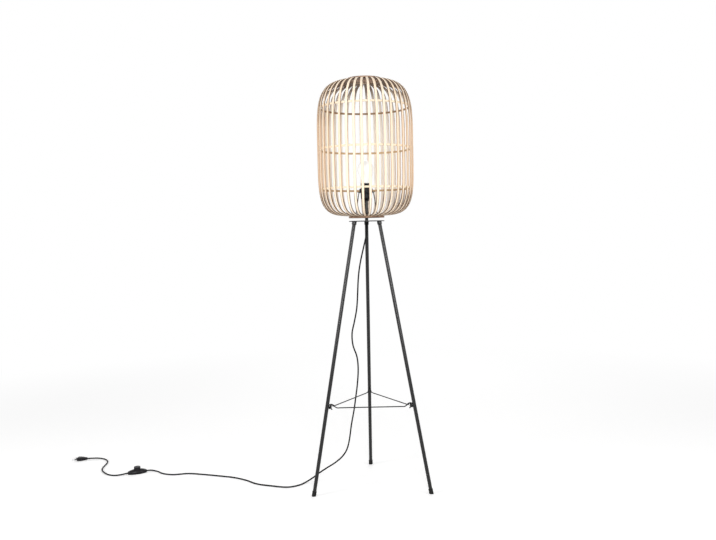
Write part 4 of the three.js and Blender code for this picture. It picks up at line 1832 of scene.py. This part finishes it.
@dataclass
class Bulb(Assembly):
    """The frosted bulb with its threaded cap; it turns as one body."""

    bottom: float = 0.9736
    radius: float = 0.0275
    length: float = 0.110
    cap_radius: float = 0.0131
    cap_length: float = 0.027
    cap_wall: float = 0.0007
    cap_cone: float = 0.007
    cap_edge: float = 0.001
    cap_thread: Pair = (0.0036, 0.0003)
    cap_thread_ends: Pair = (0.0005, 0.0035)
    cap_rings_ends: Pair = (0.001, 0.004)
    cap_rim: float = 0.003
    cap_fold: float = 0.0002
    contact_radius: float = 0.005
    contact_round: float = 0.0008
    neck_radius: float = 0.0142
    neck_length: float = 0.038
    glass_wall: float = 0.001
    glass_tail: float = 0.008
    steps: int = 18

    def build(self) -> None:
        """Make the bulb's pieces."""
        self.fit(self.cap(), "bulb_cap", body="bulb")
        self.fit(self.glass(), "bulb_glass", body="bulb")
        self.dress("bulb_mount", STEEL)

    def cap(self) -> Object:
        """Make the cap, with its thread and its contact.

        Returns:
            The piece.
        """
        inner, top = self.cap_radius - self.cap_wall - self.cap_fold, self.bottom + self.cap_length
        cone = self.bottom + self.cap_cone
        above, under = self.cap_rings_ends
        profile = [
            (0.0, self.bottom),
            (self.contact_radius - self.cap_edge, self.bottom),
            (self.contact_radius, self.bottom + self.contact_round),
            (self.cap_radius - self.cap_edge, cone),
            *threaded_rings(self.cap_radius - self.cap_thread[1], cone + above, top - under),
            (self.cap_radius, top - self.cap_rim),
            (self.cap_radius, top),
            (inner, top),
            (inner, cone),
            (0.0, self.bottom + self.cap_cone / 2),
        ]
        after, before = self.cap_thread_ends
        outside = thread(*self.cap_thread, cone + after, top - before)
        return keep("bulb_cap_brass", spun(profile, sides=48, wave=outside), BRASS)

    def outline(self, inset: float) -> list[Pair]:
        """Return the envelope's outline from its tail to its crown.

        Args:
            inset: How far inside the outer face it lies.

        Returns:
            Radius and height of each point.
        """
        rim = self.bottom + self.cap_length
        tail = self.cap_radius - self.cap_wall - FIT * 2
        centre, neck = self.bottom + self.length - self.radius, self.bottom + self.neck_length
        points = [(tail - inset, rim - self.glass_tail), (tail - inset, rim + FIT)]
        points.append((self.neck_radius - inset, rim + self.glass_tail / 2))
        for i in range(self.steps + 1):
            share = i / self.steps
            eased = share * share * (3 - 2 * share)
            wide = self.neck_radius + (self.radius - self.neck_radius) * eased
            points.append((wide - inset, neck + (centre - neck) * share))
        for i in range(1, self.steps + 1):
            angle = TURN / 4 * i / self.steps
            out = (self.radius - inset) * math.cos(angle) if i < self.steps else 0.0
            points.append((out, centre + (self.radius - inset) * math.sin(angle)))
        return points

    def glass(self) -> Object:
        """Make the frosted envelope with its wall."""
        profile = [*reversed(self.outline(self.glass_wall)), *self.outline(0.0)]
        return keep("bulb_envelope", spun(profile, sides=72), OPAL_GLASS, crease=0.9)


@dataclass
class Shade(Assembly):
    """The globe of slats with its hoops, its ring and disc, and the steel carrier inside."""

    ring_bottom: float = 0.896
    ring_height: float = 0.006
    ring_radius: float = 0.059
    ring_bore: float = 0.043
    ring_corner: float = 0.0012
    rebate: Pair = (0.0485, 0.0038)
    disc_bottom: float = 1.3463
    disc_radius: float = 0.059
    disc_thickness: float = 0.0052
    disc_corner: float = 0.0016
    carrier_bottom: float = 0.9802
    carrier_thickness: float = 0.002
    carrier_radii: Pair = (0.0183, 0.029)
    carrier_corner: float = 0.0006
    wire: float = 0.0015
    wire_sides: int = 14
    wire_rise: float = 0.009
    wire_top: float = 0.0265
    wire_ring: float = 0.0455
    slat_pairs: int = 20
    hoops: tuple[str, ...] = ("hoop_low", "hoop_middle", "hoop_high")
    tones: tuple[float, ...] = (0.35, 0.6, 0.5)

    def build(self) -> None:
        """Make the shade's pieces."""
        pairs = [f"slat_pair_{i + 1:02d}" for i in range(self.slat_pairs)]
        self.fit(slat_recipe().run("rattan_slats", SLAT_CANE), *pairs)
        bands = hoop_recipe()
        for name, tone in zip(self.hoops, self.tones):
            low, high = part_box(name)
            values = {"Radius": high.x - AXIS.x, "Level": (low.z + high.z) / 2, "Tone": tone}
            self.fit(bands.run(f"{name}_cane", HOOP_CANE, values), name)
        self.fit(self.base_ring(), "base_ring")
        self.fit(self.disc(), "top_disc")
        self.carrier()

    def base_ring(self) -> Object:
        """Make the brown ring with its rebate for the wire ring.

        Returns:
            The piece.
        """
        rebate, depth = self.rebate
        top, ledge = self.ring_bottom + self.ring_height, self.ring_bottom + depth
        profile = [
            (rebate, self.ring_bottom),
            (self.ring_radius, self.ring_bottom),
            (self.ring_radius, top),
            (self.ring_bore, top),
            (self.ring_bore, ledge),
            (rebate, ledge),
        ]
        mesh = spun(profile, sides=128, corner=self.ring_corner, closed=True)
        return keep("base_ring_wood", mesh, BROWN_WOOD)

    def disc(self) -> Object:
        """Make the brown disc on top."""
        side = band(0.0, self.disc_radius, self.disc_bottom, self.disc_bottom + self.disc_thickness)
        return keep("top_disc_wood", spun(side, sides=128, corner=self.disc_corner), BROWN_WOOD)

    def carrier(self) -> None:
        """Make the carrier: a flat ring under the collar, three wires and the wire ring below."""
        bore, out = self.carrier_radii
        low, high = self.carrier_bottom, self.carrier_bottom + self.carrier_thickness
        flat = spun(band(bore, out, low, high), sides=96, corner=self.carrier_corner, closed=True)
        self.fit(keep("carrier_washer", flat, BLACK_STEEL), "shade_carrier")
        level = self.ring_bottom + self.rebate[1] - FIT - self.wire
        inside = self.ring_bore - FIT - self.wire
        ring_top = self.ring_bottom + self.ring_height
        spots = [
            (self.wire_top, low + self.carrier_thickness / 2),
            (self.wire_top + self.wire, low - self.carrier_thickness * 2),
            (inside - self.wire, ring_top + self.wire_rise),
            (inside, ring_top),
            (inside, level + self.wire),
            (inside + self.wire, level - FIT),
            (self.wire_ring, level),
        ]
        path = curve_through([Vector((x, 0.0, z)) for x, z in spots], steps=8)
        sizes = {"Radius": self.wire}
        self.fit(spoke_recipe().run("carrier_wires", BLACK_STEEL, sizes, path, on_axis=True))
        circle = []
        for i in range(self.wire_sides):
            angle = TURN * i / self.wire_sides
            across, up = self.wire * math.cos(angle), self.wire * math.sin(angle)
            circle.append((self.wire_ring + across, level + up))
        self.fit(keep("carrier_hoop", spun(circle, sides=96, closed=True), BLACK_STEEL))


@dataclass
class FootSwitch(Assembly):
    """The spindle-shaped switch on the floor, with its press button."""

    place: Pair = (-0.839, 0.167)
    turned: float = math.radians(25.0)
    length: float = 0.067
    mid_radius: float = 0.014
    end_radius: float = 0.0046
    axis_height: float = 0.0055
    height: float = 0.0175
    wall: float = 0.0018
    end_wall: float = 0.007
    fullness: float = 1.5
    edge: float = 0.0005
    edge_angle: float = 0.7
    cover_room: float = 0.002
    bore_span: Pair = (0.003, 0.03)
    button_radius: float = 0.0115
    button_proud: float = 0.008
    button_round: float = 0.00128
    button_corner: float = 0.0009
    button_dish: tuple[Pair, ...] = ((0.72, 0.0003), (0.35, 0.0009), (0.0, 0.0010))
    button_skirt: float = 0.002
    button_rim: float = 0.004
    button_stem: Pair = (0.004, 0.005)
    press: float = 0.003
    spring_wire: float = 0.00045
    spring_radius: float = 0.006
    spring_turns: int = 4
    steps: int = 20

    @property
    def frame_of(self) -> Matrix:
        """Return the switch's frame, its length along X."""
        return ON_AXIS @ at(*self.place) @ turn(self.turned, "Z")

    @property
    def button_underside(self) -> float:
        """Return the level of the button's underside."""
        return self.height - self.wall - self.button_skirt / 2

    def end(self, side: Side, distance: float) -> Vector:
        """Return a point of the row frame on the switch's axis, so far outside one of its ends."""
        along = side.value * (self.length / 2 + distance)
        return self.frame_of @ Vector((along, 0.0, self.axis_height))

    def build(self) -> list[Object]:
        """Make the switch's pieces and return those that lie on the cord.

        Returns:
            The pieces on the cord.
        """
        base = self.half(0.0, self.axis_height)
        cover = self.half(self.axis_height + FIT, self.height + self.cover_room)
        bore = spun(band(0.0, self.button_radius + FIT, *self.bore_span), sides=64, move=HERE)
        cover = carve(cover, [bore], Carving.CUT)
        pieces = []
        for name, mesh in (("switch_base", base), ("switch_cover", cover)):
            soft = softened(mesh, self.edge, angle=self.edge_angle)
            soft.transform(self.frame_of)
            pieces.append(self.fit(keep(f"{name}_moulding", soft, MOULDED), name))
        self.fit(self.button(), "switch_button", body="button")
        self.spring()
        return pieces

    def spindle(self, length: float, mid: float, end: float) -> Mesh:
        """Make a flattened spindle along X.

        Args:
            length: Its length.
            mid: Its greatest radius, sideways.
            end: Its radius at the ends.

        Returns:
            The closed mesh.
        """
        profile = [(0.0, -length / 2)]
        for i in range(2 * self.steps + 1):
            angle = (i / self.steps - 1) * TURN / 4
            out = end + (mid - end) * max(0.0, math.cos(angle)) ** self.fullness
            profile.append((out, math.sin(angle) * length / 2))
        profile.append((0.0, length / 2))
        flat = Matrix.Diagonal((1.0, 1.0, (self.height - self.axis_height) / self.mid_radius, 1.0))
        return spun(profile, sides=56, move=at(z=self.axis_height) @ flat @ turn(TURN / 4, "Y"))

    def slab(self, low: float, high: float) -> Mesh:
        """Make a block wider than the switch between two levels."""
        return mesh_of(loft([level_square(self.length, level) for level in (low, high)]))

    def half(self, low: float, high: float) -> Mesh:
        """Make one hollow half of the switch between two levels.

        Args:
            low: The lower level.
            high: The upper level.

        Returns:
            The closed mesh.
        """
        length = self.length - self.end_wall * 2
        inside = self.spindle(length, self.mid_radius - self.wall, self.end_radius - self.wall)
        hollow = carve(inside, [self.slab(self.wall, self.height)], Carving.KEEP_WITHIN)
        outside = self.spindle(self.length, self.mid_radius, self.end_radius)
        shell = carve(outside, [hollow], Carving.CUT)
        return carve(shell, [self.slab(low, high)], Carving.KEEP_WITHIN)

    def button(self) -> Object:
        """Make the round button, its top slightly dished and its rim reaching into the cover.

        Returns:
            The piece.
        """
        under = self.button_underside
        top = self.height + self.button_proud
        stem, reach = self.button_stem
        out = self.button_radius
        profile = [
            (0.0, under - reach),
            (stem, under - reach),
            (stem, under),
            (out - self.wall, under),
            (out - self.wall, under - self.button_rim),
            (out, under - self.button_rim),
            (out, top - self.button_round),
            (out - self.button_round, top),
            *((out * share, top - dip) for share, dip in self.button_dish),
        ]
        mesh = spun(profile, sides=64, corner=self.button_corner, steps=4, move=self.frame_of)
        return keep("switch_button_moulding", mesh, MOULDED)

    def spring(self) -> None:
        """Make the coil under the button."""
        bottom, top = self.wall + FIT, self.button_underside - FIT
        low, rise = bottom + self.spring_wire, top - bottom - self.spring_wire * 2
        count = self.spring_turns * self.steps
        path = []
        for i in range(count + 1):
            spot = Vector((self.spring_radius, 0.0, low + rise * i / count))
            path.append(self.frame_of @ (turn(TURN * i / self.steps, "Z") @ spot))
        sizes = {"Radius": self.spring_wire, "Sides": 10}
        coil = wire_recipe().run("switch_spring_coil", STEEL, sizes, path)
        self.fit(coil, "switch_spring")
        anchor = tuple(self.frame_of @ Vector((0.0, 0.0, bottom)))
        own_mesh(coil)


@dataclass
class Plug(Assembly):
    """The flat plug on the floor with its two sleeved pins."""

    place: Pair = (-1.078, 0.3425)
    turned: float = math.radians(184.0)
    length: float = 0.036
    width: float = 0.026
    thickness: float = 0.0137
    taper: float = 0.020
    tip_width: float = 0.008
    tip_edge: Pair = (0.8, 0.0006)
    shoulder_share: float = 0.72
    shoulder_rings: tuple[Point, ...] = ((0.86, 0.96, 0.93), (1.0, 1.06, 0.98))
    face_edge: tuple[Pair, ...] = ((0.0010, 0.0), (0.0003, 0.0004), (0.0, 0.0011))
    ribs: int = 6
    ribs_room: float = 2.5
    rib: tuple[Pair, ...] = ((0.15, 0.0), (0.4, 0.0006), (0.6, 0.0006), (0.85, 0.0))
    swell: float = 0.8
    points: int = 48
    pin_radius: float = 0.002
    pin_core: float = 0.0018
    pin_corner: float = 0.0007
    pin_length: float = 0.019
    pin_root: float = 0.006
    pin_hole_overrun: float = 0.002
    pin_spacing: float = 0.019
    pin_nose: float = 0.0014
    pin_tip_share: float = 0.55
    sleeve: float = 0.009

    @property
    def frame_of(self) -> Matrix:
        """Return the plug's frame, its cord end at the origin and its pins towards +X."""
        return ON_AXIS @ at(*self.place) @ turn(self.turned, "Z")

    def cord_end(self, distance: float) -> Vector:
        """Return a point on the plug's axis before its cord end, in the row frame."""
        return self.frame_of @ Vector((-distance, 0.0, self.thickness / 2))

    def build(self) -> list[Object]:
        """Make the plug's pieces and return them.

        Returns:
            The pieces.
        """
        body = carve(self.body(), [self.pin_hole(pin) for pin in Pin], Carving.CUT)
        body.transform(self.frame_of)
        pieces = [self.fit(keep("plug_moulding", body, MOULDED), "plug_body")]
        for pin in Pin:
            pieces += self.pin(pin)
        return pieces

    def body(self) -> Mesh:
        """Loft the plug's body, ribbed where it tapers to the cord.

        Returns:
            The closed mesh.
        """
        face, half, tip = self.width / 2, self.thickness / 2, self.tip_width / 2
        shoulder = face * self.shoulder_share
        end_share, end_length = self.tip_edge
        stations = [(0.0, tip * end_share, tip * end_share), (end_length, tip, tip)]
        for i in range(self.ribs):
            for across, dent in self.rib:
                share = (i + across) / (self.ribs + self.ribs_room)
                wide = tip + (shoulder - tip) * share
                high = tip + (half - tip) * share ** self.swell
                stations.append((self.taper * share, wide - dent, high - dent))
        for share, wide, high in self.shoulder_rings:
            stations.append((self.taper * share, shoulder * wide, half * high))
        stations.append((self.length - self.taper / 2, face, half))
        for back, inset in self.face_edge:
            stations.append((self.length - back, face - inset, half - inset))
        rings = []
        for x, wide, high in stations:
            ring = []
            for i in range(self.points):
                angle = TURN * i / self.points
                cos, sin = math.cos(angle), math.sin(angle)
                y = wide * math.copysign(math.sqrt(abs(cos)), cos)
                z = high * math.copysign(math.sqrt(abs(sin)), sin)
                ring.append(Vector((x, y, z + half)))
            rings.append(ring)
        return mesh_of(loft(rings))

    def pin_place(self, pin: Pin) -> Matrix:
        """Return a pin's frame in the plug's, its length along Z."""
        return at(0.0, pin.value * self.pin_spacing / 2, self.thickness / 2) @ turn(TURN / 4, "Y")

    def pin_hole(self, pin: Pin) -> Mesh:
        """Make what is cut from the body for a pin."""
        low, high = self.length - self.pin_root, self.length + self.pin_hole_overrun
        return spun(band(0.0, self.pin_radius + FIT, low, high), sides=32, move=self.pin_place(pin))

    def pin(self, pin: Pin) -> list[Object]:
        """Make a pin and its black sleeve.

        Args:
            pin: Which pin.

        Returns:
            The pin and its sleeve.
        """
        root, end = self.length - self.pin_root + FIT, self.length + self.pin_length
        core, out = self.pin_core, self.pin_radius
        edge = self.length + self.sleeve
        metal = [(0.0, root), (core, root), (core, edge), (out, edge)]
        metal += [(out, end - self.pin_nose), (out * self.pin_tip_share, end), (0.0, end)]
        name, move = f"plug_pin_{pin.name}", self.frame_of @ self.pin_place(pin)
        bright = spun(metal, sides=32, corner=self.pin_corner, move=move)
        black = spun(band(core, out, root, edge), sides=32, closed=True, move=move)
        return [
            self.fit(keep(f"{name}_metal", bright, STEEL), name),
            self.fit(keep(f"{name}_sleeve", black, MOULDED)),
        ]


# The cords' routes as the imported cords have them, chosen point by point, from the lamp's axis

LEAD_ROUTE: tuple[Point, ...] = (
    (-0.004, 0.001, 0.832),
    (-0.024, 0.007, 0.748),
    (-0.031, 0.01, 0.703),
    (-0.039, 0.014, 0.595),
    (-0.048, 0.016, 0.549),
    (-0.0565, 0.018, 0.51),
    (-0.0545, 0.02, 0.47),
    (-0.042, 0.022, 0.43),
    (-0.0385, 0.024, 0.39),
    (-0.0425, 0.026, 0.334),
    (-0.049, 0.028, 0.289),
    (-0.055, 0.03, 0.249),
    (-0.0655, 0.032, 0.195),
    (-0.074, 0.034, 0.141),
    (-0.083, 0.036, 0.109),
    (-0.098, 0.036, 0.086),
    (-0.122, 0.034, 0.066),
    (-0.152, 0.032, 0.048),
    (-0.18, 0.032, 0.03),
    (-0.203, 0.031, 0.0135),
    (-0.226, 0.018, 0.0036),
    (-0.248, -0.008, 0.0026),
    (-0.282, -0.024, 0.0026),
    (-0.336, -0.009, 0.0026),
    (-0.391, 0.016, 0.0026),
    (-0.433, 0.057, 0.0026),
    (-0.48, 0.089, 0.0026),
    (-0.528, 0.108, 0.0026),
    (-0.596, 0.131, 0.0026),
    (-0.652, 0.145, 0.0026),
    (-0.702, 0.136, 0.0026),
    (-0.726, 0.142, 0.0026),
    (-0.748, 0.155, 0.0026),
    (-0.7635, 0.172, 0.0027),
    (-0.78, 0.183, 0.0034),
    (-0.7915, 0.1857, 0.0046),
)
TAIL_ROUTE: tuple[Point, ...] = (
    (-0.889, 0.1445, 0.004),
    (-0.912, 0.141, 0.0026),
    (-0.936, 0.15, 0.0026),
    (-0.96, 0.175, 0.0026),
    (-0.978, 0.206, 0.0026),
    (-0.985, 0.237, 0.0026),
    (-0.986, 0.269, 0.0026),
    (-0.989, 0.302, 0.0026),
    (-1.001, 0.33, 0.0026),
    (-1.019, 0.3465, 0.0032),
    (-1.041, 0.349, 0.0054),
)


@dataclass
class Cords(Assembly):
    """The lead from the gland to the foot switch, and the one from there to the plug."""

    lead_length: float = 1.606
    tail_length: float = 0.3535
    sides: int = 16
    steps: int = 7
    paths: dict[str, list[Vector]] = field(default_factory=dict)
    pieces: dict[str, Object] = field(default_factory=dict)

    def build(self, stem: Stem, switch: FootSwitch, plug: Plug) -> None:
        """Make both cords along their routes.

        Args:
            stem: The stem, whose gland the lead leaves.
            switch: The foot switch that both meet.
            plug: The plug that the tail meets.
        """
        start = AXIS + Vector((0.0, 0.0, stem.gland_tip - FIT))
        near, far = Side.TOWARDS_LAMP, Side.TOWARDS_PLUG
        lead = [start, start - Vector((0.0, 0.0, LEAD)), *self.route(LEAD_ROUTE)]
        lead += [switch.end(near, FIT + LEAD), switch.end(near, FIT)]
        tail = [switch.end(far, FIT), switch.end(far, FIT + LEAD), *self.route(TAIL_ROUTE)]
        tail += [plug.cord_end(FIT + LEAD), plug.cord_end(FIT)]
        round_cord = wire_recipe()
        sizes = {"Radius": LEAD / 2, "Sides": self.sides}
        for name, points in (("cord_to_switch", lead), ("cord_to_plug", tail)):
            path = curve_through(points, self.steps)
            sheath = round_cord.run(f"{name}_sheath", SHEATH, sizes, path)
            self.paths[name], self.pieces[name] = path, self.fit(sheath, name)

    def route(self, points: Sequence[Point]) -> list[Vector]:
        """Return a route's points in the row frame."""
        return [AXIS + Vector(point) for point in points]

    def declare(self, on_lead: Sequence[Object], on_tail: Sequence[Object]) -> None:
        """Go through both cords' paths and the pieces on them, keeping nothing.

        Args:
            on_lead: The separate pieces on the lead.
            on_tail: The separate pieces on the tail.
        """
        facts = (
            ("cord_to_switch", self.lead_length, "fitting", on_lead),
            ("cord_to_plug", self.tail_length, "plug", on_tail),
        )
        for name, length, far_end, others in facts:
            path = self.paths[name]
            tuple(path[0])
            [tuple(point) for point in path]
            list(others)


# Studio


@dataclass
class Studio:
    """The camera at the photograph's place, a pale floor and plain soft light."""

    camera_place: Point = (-0.0353, -2.6268, 0.8667)
    sensor: float = 36.0
    lens: float = 39.24
    clip: Pair = (0.05, 100.0)
    yaw: float = -0.0012
    pitch: float = -0.0551
    roll: float = 0.0209
    world: float = 0.40
    floor_size: float = 30.0
    floor_colour: Colour = (0.88, 0.88, 0.88)
    floor_lift: float = 0.285
    floor_fade: Pair = (1.0, 3.2)
    aim: float = 0.9
    lamps: tuple[tuple[str, Point, Pair, float], ...] = (
        ("key", (0.1, -3.3, 1.5), (0.8, 1.3), 50.0),
        ("left", (-2.6, -1.5, 1.7), (0.9, 1.6), 32.0),
        ("right", (2.4, -1.8, 1.65), (0.9, 1.6), 23.0),
        ("back", (0.4, 3.0, 2.4), (1.8, 1.8), 32.0),
    )

    def camera(self) -> None:
        """Set the camera."""
        lens = bpy.data.cameras.new("camera")
        lens.sensor_fit, lens.sensor_width, lens.lens = "HORIZONTAL", self.sensor, self.lens
        lens.clip_start, lens.clip_end = self.clip
        holder = linked("camera", lens)
        look = turn(self.yaw, "Z") @ turn(self.pitch, "X") @ turn(self.roll, "Y")
        holder.matrix_world = Matrix.Translation(self.camera_place) @ look @ turn(TURN / 4, "X")
        bpy.context.scene.camera = holder

    def light(self) -> None:
        """Set the world and the lamps, at a level at which colours render about as written."""
        scene = bpy.context.scene
        scene.view_settings.view_transform = "Standard"
        world = bpy.data.worlds.new("studio")
        world.use_nodes = True
        world.node_tree.nodes.clear()
        tree = Tree(world.node_tree)
        seen = self.seen(tree)
        strength = seen * (1.0 - self.world) + self.world
        inputs = {"Color": WHITE, "Strength": strength}
        sky = tree.node("ShaderNodeBackground", None, inputs)
        tree.node("ShaderNodeOutputWorld", None, {"Surface": sky})
        scene.world = world
        for name, place, size, power in self.lamps:
            self.lamp(name, place, size, power)

    def lamp(self, name: str, place: Point, size: Pair, power: float) -> None:
        """Add an area lamp that looks at the shade.

        Args:
            name: Its name.
            place: Where it stands.
            size: Its width and height.
            power: Its power in watts.
        """
        data = bpy.data.lights.new(name, "AREA")
        data.shape, data.energy = "RECTANGLE", power
        data.size, data.size_y = size
        made = linked(name, data)
        away = Vector(place) - Vector((0.0, 0.0, self.aim))
        look = away.to_track_quat("Z", "Y").to_matrix().to_4x4()
        made.matrix_world = Matrix.Translation(place) @ look
        made.visible_camera = False

    def seen(self, tree: Tree) -> Socket:
        """Return 1 for camera, glossy and transmission rays, and otherwise 0.

        Args:
            tree: The tree of the material or the world.

        Returns:
            The value.
        """
        camera = tree.node("ShaderNodeLightPath", output="Is Camera Ray")
        glossy, through = camera.of("Is Glossy Ray"), camera.of("Is Transmission Ray")
        return camera.maths("MAXIMUM", camera, camera.maths("MAXIMUM", glossy, through))

    def floor(self) -> None:
        """Add the floor, whose far part is as white as the background."""
        shape = bmesh.new()
        corners = level_square(self.floor_size / 2, 0.0)
        shape.faces.new([shape.verts.new(corner) for corner in corners])
        mesh = bpy.data.meshes.new("floor")
        shape.to_mesh(mesh)
        shape.free()
        ground = linked("floor", mesh)
        finish = bpy.data.materials.new("floor_white")
        finish.use_nodes = True
        finish.node_tree.nodes.clear()
        tree = Tree(finish.node_tree)
        length = {"operation": "LENGTH"}
        distance = tree.node("ShaderNodeVectorMath", length, {0: tree.place()}, output="Value")
        matt = tree.node("ShaderNodeBsdfDiffuse", None, {"Color": opaque(self.floor_colour)})
        seen = self.seen(tree)
        white = tree.node("ShaderNodeEmission", None, {"Color": WHITE, "Strength": 1.0})
        lifted = {"Color": WHITE, "Strength": seen * self.floor_lift}
        lift = tree.node("ShaderNodeEmission", None, lifted)
        pale = tree.node("ShaderNodeAddShader", None, {0: matt, 1: lift})
        share = distance.rise(*self.floor_fade) * seen
        both = tree.node("ShaderNodeMixShader", None, {0: share, 1: pale, 2: white})
        tree.node("ShaderNodeOutputMaterial", None, {"Surface": both})
        mesh.materials.append(finish)


def main() -> None:
    """Build the lamp and its studio."""
    logging.basicConfig(level=logging.INFO, format="%(name)s: %(message)s")
    studio, stem, switch, plug, cords = Studio(), Stem(), FootSwitch(), Plug(), Cords()
    studio.camera()
    cords.build(stem, switch, plug)
    Tripod().build()
    stem.build()
    Holder().build()
    Shade().build()
    Bulb().build()
    on_lead = switch.build()
    on_tail = plug.build()
    cords.declare(on_lead, on_tail)
    studio.light()
    studio.floor()


if __name__ == "__main__":
    main()
